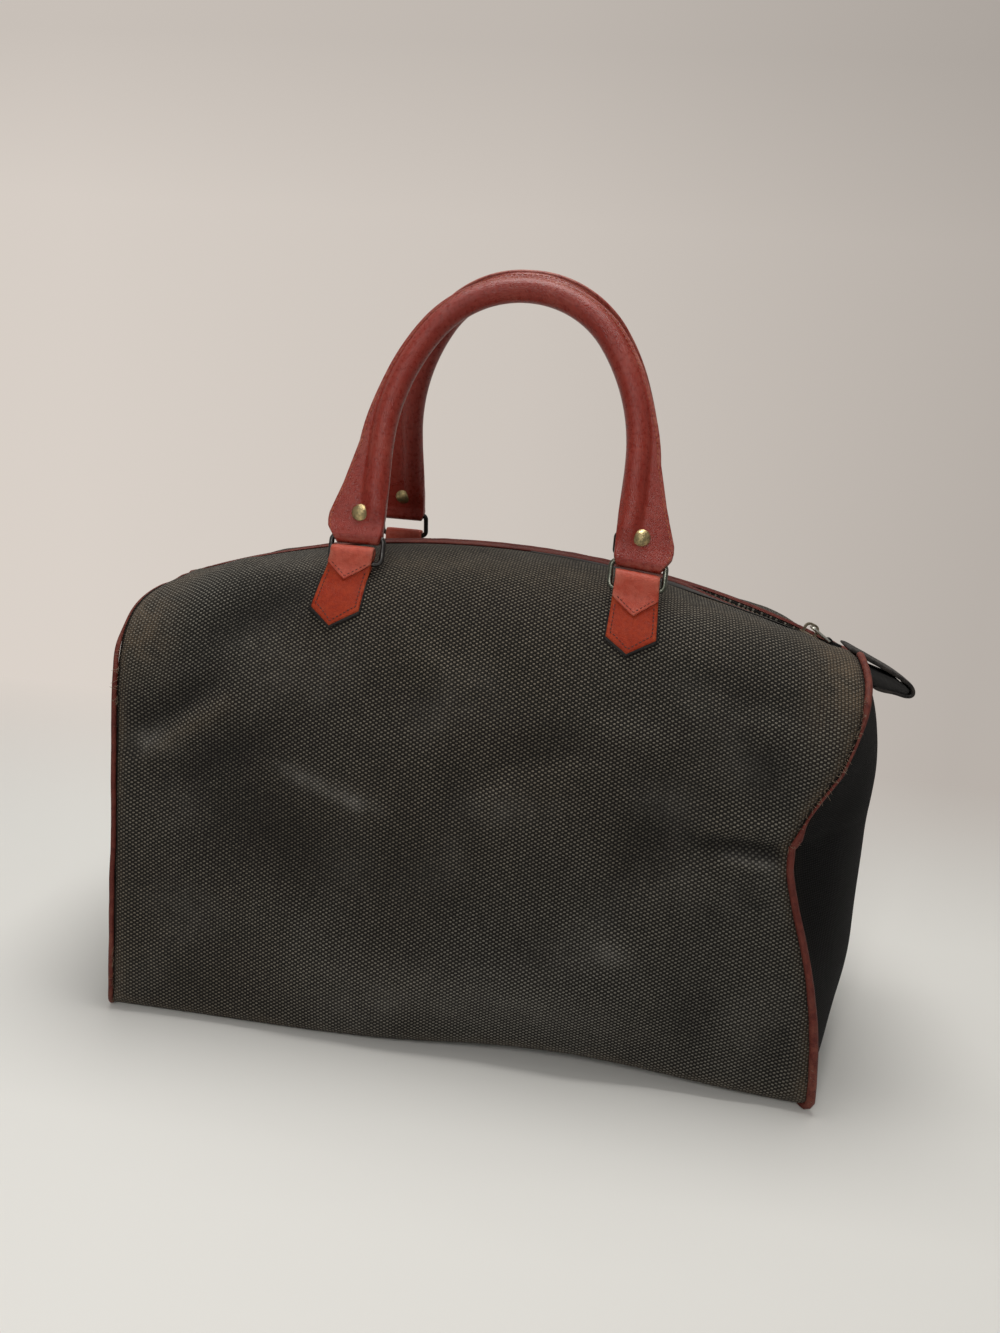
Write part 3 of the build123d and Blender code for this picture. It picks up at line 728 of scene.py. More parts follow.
def soft_marks(points, normals, edge, from_slot):
    """How far the canvas stands in or out of its plain form, and the painted shade of its creases: darkness
    in their hollows, and a painted highlight (negative) on ridges.
    """
    x, y, z = points.T
    move = np.zeros(len(points))
    for k in range(len(points)):
        here = Vector(points[k])
        for height, size, place in canvas_waves:
            move[k] += height * noise.noise(here / size + Vector(place))
    move *= smooth_step(edge, 0, 20)
    taut = smooth_step(edge, 0, 7) * smooth_step(from_slot, 3, 30)
    dents = np.zeros(len(points))
    for marks, side in ((front_marks, -1), (back_marks, 1)):
        facing = smooth_step(side * normals[:, 1], 0.2, 0.6)
        for x0, z0, x1, z1, width, depth in marks:
            dents += depth * facing * taut * stroke(x, z, x0, z0, x1, z1, width)
    return move * smooth_step(from_slot, 3, 30) - dents, np.clip(dents / darkest_dent, -0.7, 1)


def stroke(x, z, x0, z0, x1, z1, width):
    """Soft stroke from one point to another on the front or back, 1 along its middle."""
    run_x, run_z = x1 - x0, z1 - z0
    t = np.clip(((x - x0) * run_x + (z - z0) * run_z) / (run_x**2 + run_z**2), 0, 1)
    off = np.hypot(x - x0 - t * run_x, z - z0 - t * run_z)
    return np.exp(-((off / width) ** 2)) * np.sin(pi * np.clip(t * 0.9 + 0.05, 0, 1)) ** 0.5


# Soft furrows as (x, z) to (x, z), width, depth; a negative depth is a ridge. Their hollows also get painted
# shade, and their ridges a painted highlight
front_marks = [
    (118, 150, 150, 148, 5.0, 2.6), (136, 150, 178, 148, 4.6, 4.6), (156, 147, 178, 145, 5.5, 3.0),
    (138, 139, 168, 143, 4.6, -2.6), (128, 158, 172, 161, 6.0, -2.4), (152, 124, 166, 116, 6.5, 2.4),
    (136, 114, 147, 106, 6.0, 2.0), (112, 132, 140, 126, 9.0, -1.4),
    (148, 204, 166, 182, 13.0, 3.4), (146, 216, 166, 212, 8.0, -1.8), (96, 238, 176, 222, 9.0, 1.8),
    (-96, 268, -168, 222, 13.0, 3.6), (-188, 160, -139, 197, 6.0, -2.6), (-197, 172, -148, 208, 8.5, 3.2),
    (-202, 166, -186, 158, 4.0, 2.2), (-170, 152, -120, 178, 10.0, 2.2),
    (-42, 236, -8, 221, 7.0, -2.0), (-34, 214, -20, 200, 11.0, 1.6), (-14, 184, -1, 138, 9.0, 1.5),
    (6, 153, 27, 170, 8.0, -2.6), (27, 170, 68, 184, 8.0, -2.0), (8, 176, 60, 196, 12.0, 1.4),
    (108, 176, 98, 118, 19.0, 2.8), (89, 130, 77, 94, 9.0, 1.6), (62, 206, 104, 200, 9.0, -2.2),
    (-150, 132, -58, 104, 28.0, 3.0), (-110, 40, 104, 34, 20.0, -2.6), (142, 70, 128, 26, 18.0, 2.4),
    (78, 88, 96, 76, 9.0, -1.6), (-60, 225, -150, 150, 26.0, 1.6), (186, 60, 178, 16, 10.0, 2.0),
    (-190, 90, -150, 60, 16.0, 1.8), (30, 80, 60, 60, 14.0, 1.6), (-30, 120, 10, 90, 18.0, 1.8),
]
back_marks = [
    (-150, 160, -60, 120, 22.0, 3.2), (40, 190, 150, 140, 24.0, 3.0), (-60, 80, 60, 60, 30.0, 2.4),
    (120, 150, 190, 158, 7.0, 2.6), (118, 162, 180, 168, 7.0, -1.8), (-190, 200, -130, 170, 9.0, 2.4),
    (-182, 186, -130, 158, 7.0, -1.8), (-20, 230, 60, 214, 14.0, 1.8), (100, 60, 150, 30, 16.0, 2.4),
]

# Chalky smudges on the front as (x, z) to (x, z), width, strength
smudges = [
    (-108, 163, -50, 146, 5.0, 0.55), (-80, 153, -56, 147, 3.6, 1.0), (-196, 166, -172, 172, 8.0, 0.55),
    (140, 144, 168, 142, 3.0, 0.7), (0, 150, 40, 158, 11.0, 0.25), (80, 82, 94, 80, 7.0, 0.4),
    (130, 190, 160, 194, 14.0, 0.15), (-140, 226, -110, 232, 10.0, 0.2), (96, 168, 120, 170, 10.0, 0.2),
    (-70, 40, 80, 34, 16.0, 0.18),
]


def normals_of(grid):
    """Outward normals of a grid of points shaped (rows, columns, 3)."""
    down = np.gradient(grid, axis=0)
    along = np.gradient(grid, axis=1)
    cross = np.cross(along, down)
    length = np.linalg.norm(cross, axis=2, keepdims=True)
    return cross / np.maximum(length, 1e-9)


def wrap_grid():
    """Plain canvas surface: rows run round the bag from the zip, columns from the left seam to the right."""
    rows = len(rims["left"])
    half = rows // 2
    shares = np.linspace(0, 1, columns + 1)
    grid = np.empty((rows, columns + 1, 3))
    for j in range(rows):
        side = -1 if j <= half else 1
        k = j if j <= half else rows - 1 - j
        x0, x1 = rims["left"][j, 0], rims["right"][j, 0]
        for i, share in enumerate(shares):
            x = x0 + (x1 - x0) * share
            out = section_at(x, side)[k]
            grid[j, i] = (x, out[1], out[2])
        grid[j, 0] = rims["left"][j]
        grid[j, -1] = rims["right"][j]
    return grid


def make_wrap(material):
    """The canvas: one closed sheet round the front, the base and the back, with its creases, their painted
    shade, and wear.
    """
    grid = wrap_grid()
    rows, cols, _ = grid.shape
    normals = normals_of(grid)
    if normals[rows // 4, cols // 2, 1] > 0:
        normals = -normals
    flat = grid.reshape(-1, 3)
    out = normals.reshape(-1, 3)
    edge = np.tile(np.minimum(np.arange(cols), np.arange(cols)[::-1]) * column_pitch, rows)
    from_slot = np.repeat(np.minimum(np.arange(rows), np.arange(rows)[::-1]) * row_pitch, cols)
    standing = smooth_step(flat[:, 2], 1.0, 16.0)
    near_chape = np.zeros(len(flat))
    for x in (-chape_x, chape_x):
        near = np.exp(-(((flat[:, 0] - x) / 20) ** 2)) * smooth_step(flat[:, 2], 225, 243)
        near_chape = np.maximum(near_chape, near)
    move, shade = soft_marks(flat, out, edge, from_slot)
    move *= (0.15 + 0.85 * standing) * (1 - near_chape)
    seam_roll = seam_roll_out * np.exp(-(((edge - 8) / 5) ** 2)) - seam_roll_in * np.exp(-((edge / 2.6) ** 2))
    wear = wrap_wear(flat, edge, from_slot)
    dust = wrap_dust(flat, out)
    lengths = np.linalg.norm(np.diff(grid, axis=0), axis=2)
    down = np.concatenate([np.zeros((1, cols)), np.cumsum(lengths, axis=0)])
    down -= down[rows // 2][None, :]
    uv = np.stack([flat[:, 0] / weave_across, down.ravel() / weave_down], 1)
    high = smooth_step(flat[:, 2], shoulder_low_z, shoulder_high_z)
    pressed = -valley(flat[:, 0], flat[:, 1]) / front_fall * high
    thickness = wall - 1.5 * pressed
    outer = warp(flat + out * (move + seam_roll * standing)[:, None])
    inner = outer - out * thickness[:, None]
    lift = base_lift(outer)
    outer[:, 2] += lift
    inner[:, 2] += lift
    low = np.maximum(-outer[:, 2], 0.0)
    outer[:, 2] += low
    inner[:, 2] += low
    points, faces = slab(outer.reshape(grid.shape), inner.reshape(grid.shape))
    item = piece("canvas_wrap", points, faces, material, "bag", np.concatenate([uv, uv]),
                 {"wear": np.tile(wear, 2), "dust": np.tile(dust, 2), "shade": np.tile(shade, 2)})
    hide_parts("body_wrap")


def base_lift(points):
    """The front edge of the base lifts off the ground right of its middle."""
    along = np.exp(-(((points[:, 0] - base_lift_x) / base_lift_spread) ** 2))
    lift = base_lift_height * along * smooth_step(-points[:, 1], 50, base_half_depth)
    return lift * (1 - smooth_step(points[:, 2], 0, 60))


def wrap_wear(flat, edge, from_slot):
    """Rubbed, tanned canvas beside the seams, on the shoulders' ends and along the base fold."""
    x, y, z = flat.T
    seam = np.exp(-((edge / 4.5) ** 2)) * (0.55 + 0.5 * smooth_step(z, 120, 170))
    broken = np.array([0.5 + 0.5 * noise.noise(Vector(p) / 30) for p in flat])
    fold = 0.45 * np.exp(-(((z - 3) / 6) ** 2)) * (np.abs(y) > 90)
    corner = 0.85 * smooth_step(np.abs(x), 165, 200) * smooth_step(z, 185, 240)
    low_corner = 0.7 * smooth_step(np.abs(x), 188, 206) * (1 - smooth_step(z, 8, 60))
    ridge = 0.30 * np.exp(-(((np.abs(y) - 45) / 14) ** 2)) * smooth_step(z, 200, 240)
    fold_line = 0.35 * stroke(x, z, -188, 160, -139, 197, 5.0) * (y < -60)
    facing_edge = 0.8 * np.exp(-(((np.abs(y) - 24) / 2.5) ** 2)) * smooth_step(x, 60, 130) * (z > 180)
    worn = seam + fold + corner + low_corner + ridge + fold_line + facing_edge
    return np.clip(worn * (0.35 + broken), 0, 1)


def wrap_dust(flat, out):
    dust = np.zeros(len(flat))
    for x0, z0, x1, z1, width, strength in smudges:
        spot = strength * stroke(flat[:, 0], flat[:, 2], x0, z0, x1, z1, width)
        dust = np.maximum(dust, spot * (out[:, 1] < -0.2))
    cloud = np.array([noise.noise(Vector(p) / 48 + Vector((3, 1, 7))) for p in flat])
    return np.clip(dust + 0.16 * smooth_step(cloud, 0.05, 0.6), 0, 1)


def make_end_panel(name, end_x, outward, material):
    """End panel: rings of points from the seam in to the middle, pushed in and out by soft folds."""
    edge = rims[name].copy()
    if name == "right":
        edge = edge[::-1]
    centre = np.array([0.0, panel_middle_z])
    points = []
    shares = np.linspace(0, 1, panel_rings) ** 0.9
    for share in shares:
        yz = edge[:, 1:] + (centre - edge[:, 1:]) * share
        inset = 0.4 + 1.6 * min(1.0, share * 8)
        inner = centre + (yz - centre) * (1 - inset / 100)
        x = end_x(inner[:, 0], inner[:, 1])
        x = x + outward * panel_move(name, inner, share)
        points.append(np.column_stack([x, inner]))
    points = warp(np.concatenate(points))
    lift = base_lift(points)
    points[:, 2] += lift
    count = len(edge)
    uv = points[:, 1:] / panel_weave
    distance = np.repeat(shares, count)
    wear = np.clip(0.9 * np.exp(-((distance / 0.03) ** 2)), 0, 1)
    faces = grid_faces(panel_rings, count, loop_cols=True)
    item = piece(f"{name}_end_cloth", points, faces, material, "bag", uv, {"wear": wear})
    thicken(item, panel_wall)
    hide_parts(f"{name}_end_panel")


def panel_move(name, yz, share):
    """Soft folds of an end panel, as a move outwards."""
    y, z = yz.T
    loose = smooth_step(np.full(len(y), share), 0.0, 0.25)
    move = np.array([1.6 * noise.noise(Vector((a, b, 3.0 if name == "left" else 60.0)) / 46) for a, b in yz])
    if name == "right":
        upright = np.exp(-(((y - 42 + (z - 90) * 0.12) / 9) ** 2))
        move += 3.0 * upright * smooth_step(170 - np.abs(z - 85), 90, 140)
        move -= 4.5 * np.exp(-(((z - 150 - y * 0.06) / 7) ** 2)) * smooth_step(y, 10, 80)
        move -= 2.5 * np.exp(-(((z - 158 + (y + 90) * 0.3) / 10) ** 2)) * smooth_step(-y, 20, 80)
    else:
        move -= 2.2 * np.exp(-(((z - 150 + y * 0.2) / 14) ** 2))
    return move * loose


def piping_size(name, y, z):
    """Piping's share of its full size, and how far it is hidden in the canvas."""
    if name == "right":
        hidden = smooth_step(z, 158, 168) * (1 - smooth_step(z, 215, 232)) * float(y < 0)
        return (1 + 0.25 * (1 - smooth_step(z, 45, 90))) * (1 - 0.62 * hidden), 1.3 * hidden
    hidden = smooth_step(z, 222, 240) * (1 - 0.5 * float(y > 0))
    return 0.72 * (1 - 0.5 * hidden), 1.6 * hidden


def make_piping(name, end_x, outward, material):
    """Leather-covered cord just outside the seam, a little uneven, rubbed at its lower corners."""
    edge = rims[name][:-1] if np.allclose(rims[name][0], rims[name][-1], atol=1.0) else rims[name]
    shift = np.array([noise.noise(Vector(p) / 18) * 0.45 for p in edge])
    step = 1.0
    slope_y = (end_x(edge[:, 1] + step, edge[:, 2]) - end_x(edge[:, 1] - step, edge[:, 2])) / 2
    slope_z = (end_x(edge[:, 1], edge[:, 2] + step) - end_x(edge[:, 1], edge[:, 2] - step)) / 2
    normal = unit_rows(np.column_stack([np.ones(len(edge)), -slope_y, -slope_z]) * outward)
    outwards = np.column_stack([np.zeros(len(edge)), edge[:, 1], edge[:, 2] - panel_middle_z])
    outwards /= np.maximum(np.linalg.norm(outwards, axis=1, keepdims=True), 1e-6)
    shares = [piping_size(name, p[1], p[2]) for p in edge]
    sunk = np.array([hidden for _, hidden in shares])[:, None]
    path = edge + normal * (piping_out - 1.0 + shift[:, None]) - outwards * (0.4 + sunk)
    path = warp(path)
    path[:, 2] += base_lift(path)
    radii = [piping_radius * size * (1 + 0.07 * noise.noise(Vector(p) / 9))
             for p, (size, _) in zip(path, shares)]
    path[:, 2] = np.maximum(path[:, 2], np.array(radii) + 0.1)
    points, faces = tube(path, radii, piping_sides, closed=True)
    low = 1 - smooth_step(np.array([p[2] for p in points]), 10, 90)
    high = smooth_step(np.array([p[2] for p in points]), 190, 240) * 0.4
    wear = np.clip(0.30 + 0.6 * low + high, 0, 1)
    item = piece(f"{name}_piping_cord", points, faces, material, "bag", None, {"wear": wear})
    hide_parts(f"{name}_piping")


# Zip

def on_crown(x, y, level):
    """Point at x and y, level above the crown's arc."""
    angle = asin((x - crown_arc_x) / crown_arc_radius)
    radius = crown_arc_radius + level
    return (crown_arc_x + radius * sin(angle), y, crown_arc_z + radius * cos(angle))


def strip_on_crown(xs, outline):
    """Closed strip along the crown: outline(x) gives its section as a loop of (y, level)."""
    points = []
    for x in xs:
        section = outline(x)
        points += [on_crown(x, y, level) for y, level in section]
    return points, loft_faces(len(xs), len(section))


def low_end(x):
    """Share of its full height that the binding has at x: it sinks into the canvas towards the left."""
    return 0.35 + 0.65 * float(smooth_step(x, -150, -88))


def binding_inner(x):
    """Half gap between the two bindings at x: pressed together until the zip's right end."""
    wave = 0.35 * noise.noise(Vector((x / 14, 0, 5)))
    apart = max(float(smooth_step(x, pressed_until_x, open_from_x)), 1 - float(smooth_step(x, -184, -166)))
    return pressed_gap + (slot_half - pressed_gap) * apart + wave * (1 - apart)


def make_binding(name, side, material):
    """Leather edge of the zip's slot: a low inner lip, and a ridge outside it that clears the pull."""
    xs = np.arange(binding_left_x, binding_right_x + 0.1, 2.0)

    def height(x):
        lowered = front_binding_low * float(smooth_step(x, *front_binding_low_x)) if side < 0 else 0.0
        return low_end(x) * (1 - lowered)

    def fall(x):
        return 0.0 if side > 0 else -front_fall * float(smooth_step(x, pressed_until_x, front_fall_to_x))

    def outline(x):
        inner = binding_inner(x)
        narrow = 1 - (0.35 * float(smooth_step(x, 178, 196)) if side < 0 else 0.0)
        outer = inner + max(binding_width, slot_half + 4.4 - inner) * narrow
        crest = 0.25 * noise.noise(Vector((x / 9, side, 2)))
        near = height(x) * min(1.0, (x - binding_left_x + 0.5) / 3, (binding_right_x - x + 0.5) / 3)
        ridge = max(inner + 0.7, ridge_from)
        loop = [
            (inner + 0.2, 0.45), (inner, 0.56), (inner + 0.2, 0.68), (ridge - 0.25, 0.72),
            (ridge + 0.1, 1.6 + crest), (ridge + 0.9, 2.05 + crest), (ridge + 1.9, binding_crest + crest),
            (outer - 0.6, 1.35), (outer, 0.85), (outer - 0.3, 0.15), (ridge + 0.3, 0.12), (ridge - 0.3, 0.42),
        ]
        return [(side * y, 0.1 + (level - 0.1) * near + fall(x)) for y, level in loop]

    points, faces = strip_on_crown(xs, outline)
    wear = [0.25 + 0.35 * noise.noise(Vector(p) / 20) for p in points]
    item = piece(f"{name}_zip_edge", points, faces, material, "bag", None, {"wear": wear})
    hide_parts(f"{name}_zip_binding")
    line = []
    for x in xs[2:-2]:
        out = binding_inner(x) + binding_width - binding_stitch_in
        line.append(on_crown(x, side * out, binding_crest * height(x) + fall(x)))
    return line


def make_facing(name, side, material):
    """Smooth strip between the binding and the canvas, wider towards the right end."""
    xs = np.arange(facing_left_x, facing_right_x + 0.1, 3.0)

    def outline(x):
        width = 1.0 + facing_width * float(smooth_step(x, facing_left_x - 30, 150))
        outer = facing_from + width
        lows = []
        highs = []
        for k in range(7):
            y = facing_from + (outer - facing_from) * k / 6
            level = shell_level(x, y)
            lows.append((side * y, level + 0.15))
            highs.append((side * y, level + 0.75 - 0.4 * (k == 6)))
        return highs + lows[::-1]

    points, faces = strip_on_crown(xs, outline)
    piece(f"{name}_facing_strip", warp(np.array(points)), faces, material, "bag")


def shell_level(x, out):
    """Height of the shell above the crown's arc at x, out from the middle."""
    section = section_at(x, 1)
    half = section[: strip_rows + side_rows]
    return float(np.interp(out, half[:, 1], half[:, 2])) - crown_z(x)


def row_tree(name, sizes, material, kind):
    """Geometry Nodes: one tooth or stitch on every pitch of a line, with its sizes as named inputs."""
    tree = bpy.data.node_groups.new(name, "GeometryNodeTree")
    face = tree.interface
    face.new_socket("Geometry", in_out="INPUT", socket_type="NodeSocketGeometry")
    for size in sizes:
        face.new_socket(size, in_out="INPUT", socket_type="NodeSocketFloat")
    face.new_socket("Geometry", in_out="OUTPUT", socket_type="NodeSocketGeometry")
    return repeat_along(tree, material, kind)


def repeat_along(tree, material, kind):
    """Fills a tree that cuts its line into even steps, sets one shape on each and paints them."""
    nodes, links = tree.nodes, tree.links
    into = nodes.new("NodeGroupInput")
    out = nodes.new("NodeGroupOutput")
    curve = nodes.new("GeometryNodeMeshToCurve")
    sample = nodes.new("GeometryNodeResampleCurve")
    sample.mode = "LENGTH"
    points = nodes.new("GeometryNodeCurveToPoints")
    points.mode = "EVALUATED"
    place = nodes.new("GeometryNodeInstanceOnPoints")
    size = nodes.new("ShaderNodeCombineXYZ")
    real = nodes.new("GeometryNodeRealizeInstances")
    paint = nodes.new("GeometryNodeSetMaterial")
    paint.inputs["Material"].default_value = material
    smooth = nodes.new("GeometryNodeSetShadeSmooth")
    if kind == "cube":
        shape = nodes.new("GeometryNodeMeshCube")
        shape.inputs["Size"].default_value = (1, 1, 1)
        shape.inputs["Vertices X"].default_value = 3
        shape.inputs["Vertices Y"].default_value = 3
        smooth.inputs["Shade Smooth"].default_value = False
    else:
        shape = nodes.new("GeometryNodeMeshUVSphere")
        shape.inputs["Segments"].default_value = 8
        shape.inputs["Rings"].default_value = 6
        shape.inputs["Radius"].default_value = 0.5
    links.new(into.outputs[0], curve.inputs["Mesh"])
    links.new(curve.outputs["Curve"], sample.inputs["Curve"])
    links.new(into.outputs[1], sample.inputs["Length"])
    links.new(sample.outputs["Curve"], points.inputs["Curve"])
    links.new(points.outputs["Points"], place.inputs["Points"])
    links.new(shape.outputs["Mesh"], place.inputs["Instance"])
    links.new(points.outputs["Rotation"], place.inputs["Rotation"])
    links.new(into.outputs[3], size.inputs["X"])
    links.new(into.outputs[4], size.inputs["Y"])
    links.new(into.outputs[2], size.inputs["Z"])
    links.new(size.outputs[0], place.inputs["Scale"])
    links.new(place.outputs["Instances"], real.inputs["Geometry"])
    links.new(real.outputs["Geometry"], smooth.inputs["Geometry"])
    links.new(smooth.outputs["Geometry"], paint.inputs["Geometry"])
    links.new(paint.outputs["Geometry"], out.inputs[0])
    return tree


def repeated(name, lines, tree, sizes, body):
    """Runs a repeating tree along lines of points, and keeps the result as a plain mesh."""
    mesh = bpy.data.meshes.new(name)
    points, edges = [], []
    for line in lines:
        start = len(points)
        points += [tuple(Vector(p) * MM) for p in line]
        edges += [(k, k + 1) for k in range(start, len(points) - 1)]
    mesh.from_pydata(points, edges, [])
    item = placed(name, mesh)
    modifier = item.modifiers.new("repeat", "NODES")
    modifier.node_group = tree
    numbers = [s for s in tree.interface.items_tree
               if s.in_out == "INPUT" and s.socket_type == "NodeSocketFloat"]
    for socket, value in zip(numbers, sizes):
        modifier[socket.identifier] = value * MM
    applied(item)
    dress(item, body)
    return item


# Zip end tab: middle line of its leather as (x, level above the crown's arc), from the lower ply's end, round
# the fold, to the upper ply's end
tab_route = [
    (229.5, -8.4), (232.5, -8.0), (236.0, -6.9), (240.0, -5.3), (244.5, -3.9), (247.6, -2.4), (248.6, -0.4),
    (247.7, 1.7), (245.0, 3.3), (241.0, 4.0), (235.0, 4.2), (221.0, 4.15), (206.5, 4.15),
]
filler_shade_start_x = 209.0
filler_shade_end_x = 246.0


def make_tab(material, filler_shade_cloth):
    """Leather folded over the zip's end, with a dark ribbed filling between its plies that stands in for the
    shadow in the gap (painted shade).
    """
    route = clamped_spline(tab_route, (1, 0), (-1, 0), 56)
    tangent = unit_rows(np.gradient(route, axis=0))
    normal = np.column_stack([tangent[:, 1], -tangent[:, 0]])
    sheets = []
    for face in (1, -1):
        sheet = []
        for k, (x, level) in enumerate(route):
            end = min(k, len(route) - 1 - k)
            blunt = 1 - 0.45 * exp(-((end / 0.8) ** 2))
            for share in np.linspace(-1, 1, tab_columns):
                half = tab_ply / 2 * (1 - 0.42 * abs(share) ** 7) * blunt
                half += 0.12 * noise.noise(Vector((x / 7, share * 2, face)))
                px, pl = (x, level) + normal[k] * face * half
                sheet.append(on_crown(px, share * tab_half_width, pl))
        sheets.append(np.array(sheet).reshape(len(route), tab_columns, 3))
    points, faces = slab(*sheets)
    wear = [0.15 + 0.5 * (abs(p[1]) > tab_half_width * 0.9) for p in points]
    item = piece("end_tab", points, faces, material, "bag", None, {"wear": wear})
    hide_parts("zip_end_tab")

    def wedge(x):
        bottom = float(np.interp(x, [209, 228, 236, 241, 246], [-9.0, -8.2, -6.2, -4.6, -2.2]))
        top = float(np.interp(x, [209, 226, 236, 243, 246], [-0.8, 0.2, 1.8, 1.6, 0.6]))
        across = np.linspace(-filler_shade_half_width, filler_shade_half_width, 25)
        upper = [(y, top + filler_shade_rib * (i % 2)) for i, y in enumerate(across)]
        return upper + [(y, bottom + filler_shade_rib * (i % 2)) for i, y in enumerate(across[::-1])]

    # Painted shade: a dark ribbed filling where the gap between the plies lies in shadow
    points, faces = strip_on_crown(np.linspace(filler_shade_start_x, filler_shade_end_x, 20), wedge)
    piece("tab_filler_shade", points, faces, filler_shade_cloth, "bag")


# Straps and handles

def chape_route(side, x):
    """Line of a strap as (y, z) on the shell from the pad's tip, then up, over the ring and down inside."""
    section = section_at(x, side)[: strip_rows + side_rows]
    flat = section[:, 1:]
    tangent = np.gradient(flat, axis=0)
    normal = unit_rows(np.column_stack([-tangent[:, 1], tangent[:, 0]]))
    if normal[strip_rows + 30, 1] < 0:
        normal = -normal
    lifted = flat + normal * chape_lift
    keep = (lifted[:, 1] >= chape_tip_z) & (lifted[:, 1] <= chape_pad_top_z - 4)
    keep &= np.abs(lifted[:, 0]) > chape_y
    pad = lifted[keep][::-1]
    loop_radius = ring_wire_radius + ring_play + chape_ply / 2
    rise = [(side * (chape_y + loop_radius), z)
            for z in np.linspace(chape_pad_top_z + 2, chape_loop_z - 0.5, 7)]
    top = []
    for i in range(1, 12):
        turn = pi * i / 12
        top.append((side * (chape_y + loop_radius * cos(turn)), chape_loop_z + loop_radius * sin(turn)))
    down = [(side * (chape_y - loop_radius), z) for z in np.linspace(chape_loop_z, chape_root_z + 8, 8)]
    route = np.array([*pad, *rise, *top, *down])
    turned = len(pad) + len(rise) - 1
    smooth = route.copy()
    for _ in range(4):
        smooth[2:-2] = (smooth[1:-3] + smooth[2:-2] * 2 + smooth[3:-1]) / 4
    smooth[turned:] = route[turned:]
    steps = np.concatenate([[0], np.cumsum(np.linalg.norm(np.diff(smooth, axis=0), axis=1))])
    fine = np.linspace(0, steps[-1], 160)
    line = np.column_stack([np.interp(fine, steps, smooth[:, 0]), np.interp(fine, steps, smooth[:, 1])])
    return fine, line, float(steps[turned])


def make_chape(name, x, side, lean, tilt, vee_z, pad_material, strap_painted_sheen_material, underlay_shadow_material):
    """Pointed leather pad sewn to the shoulder, and on it the strap that holds the ring."""
    fine, line, turn_s = chape_route(side, x)
    tangent = unit_rows(np.gradient(line, axis=0))
    normal = np.column_stack([-tangent[:, 1], tangent[:, 0]]) * side
    if normal[2, 0] * side < 0:
        normal = -normal
    outside = fine <= turn_s

    def s_at(z):
        return float(np.interp(z, line[outside, 1], fine[outside]))

    def at(s, offset, lift):
        y, z = (float(np.interp(s, fine, line[:, i])) + min(s, 0.0) * tangent[0, i] for i in (0, 1))
        out = [float(np.interp(s, fine, normal[:, i])) for i in (0, 1)]
        high = float(smooth_step(z, chape_tip_z + 20, chape_loop_z))
        shift = float(np.interp(z, lay_heights, lean))
        return (x + shift + offset, y + out[0] * lift, z + out[1] * lift + tilt * offset * high)

    def half_width(s):
        z = float(np.interp(min(s, turn_s), fine, line[:, 1]))
        return float(np.interp(z, [chape_corner_z, chape_loop_z], [chape_width, chape_neck])) / 2

    def sheet(starts, end, rows, lows, highs, label, material, wear_of, grow=0.0):
        shares = np.linspace(-1, 1, len(starts))
        grids = [[], []]
        for i in range(rows):
            t = i / (rows - 1)
            for share, start in zip(shares, starts):
                s = start + (end - start) * t
                low, high = lows(s), highs(s)
                round_off = 0.35 * abs(share) ** 9 + 0.3 * exp(-(((s - start) / 0.7) ** 2))
                offset = share * (half_width(s) + grow)
                grids[0].append(at(s, offset, high - round_off))
                grids[1].append(at(s, offset, low))
        outer, inner = (np.array(g).reshape(rows, len(starts), 3) for g in grids)
        points, faces = slab(outer, inner)
        wear = np.tile([wear_of(share, i) for i in range(rows) for share in shares], 2)
        return piece(label, points, faces, material, "bag", None, {"wear": wear})

    shares = np.linspace(-1, 1, 21)
    corner_s, point_s, end_s = s_at(chape_corner_z), s_at(vee_z), s_at(vee_z + vee_depth)
    sheet([corner_s * abs(v) for v in shares], end_s + 3, 30,
          lambda s: pad_levels[0], lambda s: pad_levels[1],
          f"{name}_pad", pad_material, lambda share, i: 0.15 + 0.5 * abs(share) ** 10 + 0.35 * (i < 1))
    # Black underlay just wider than the pad: a real black layer whose dark rim also stands in for the shadow
    # under the pad's edge (painted shadow)
    sheet([corner_s * abs(v) - 1.5 for v in shares], point_s + 2, 24,
          lambda s: underlay_shadow_levels[0], lambda s: underlay_shadow_levels[1],
          f"{name}_backing", underlay_shadow_material, lambda share, i: 0.3, grow=1.0)
    # Painted sheen: the strap's leather is lighter and pinker than the pad's where it curves up towards the
    # ring
    strap = sheet([point_s + (end_s - point_s) * abs(v) for v in shares], fine[-1], 70,
                  lambda s: float(np.interp(s, [end_s, turn_s - 3], [strap_end_levels[0], -chape_ply / 2])),
                  lambda s: float(np.interp(s, [end_s, turn_s - 3], [strap_end_levels[1], chape_ply / 2])),
                  name, strap_painted_sheen_material, lambda share, i: 0.2 + 0.6 * abs(share) ** 8 + 0.3 * (i < 1))
    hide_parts(name.replace("_strap", "_chape"))

    inset = pad_stitch_in
    edge = []
    for share in np.linspace(-1, 1, 29):
        if abs(share) < 1:
            aside = share * (half_width(corner_s) - inset)
            edge.append(at(corner_s * abs(share) + inset * 1.2, aside, pad_stitch_level))
    left, right = [], []
    for s in np.arange(corner_s + inset, end_s - 5.0, 0.8):
        left.append(at(s, -(half_width(s) - inset), pad_stitch_level))
        right.append(at(s, half_width(s) - inset, pad_stitch_level))
    vee = []
    for share in np.linspace(-0.74, 0.74, 21):
        s = point_s + (end_s - point_s) * abs(share) + 2.0
        vee.append(at(s, share * half_width(s), vee_stitch_level))
    return [left[::-1] + edge + right, vee]


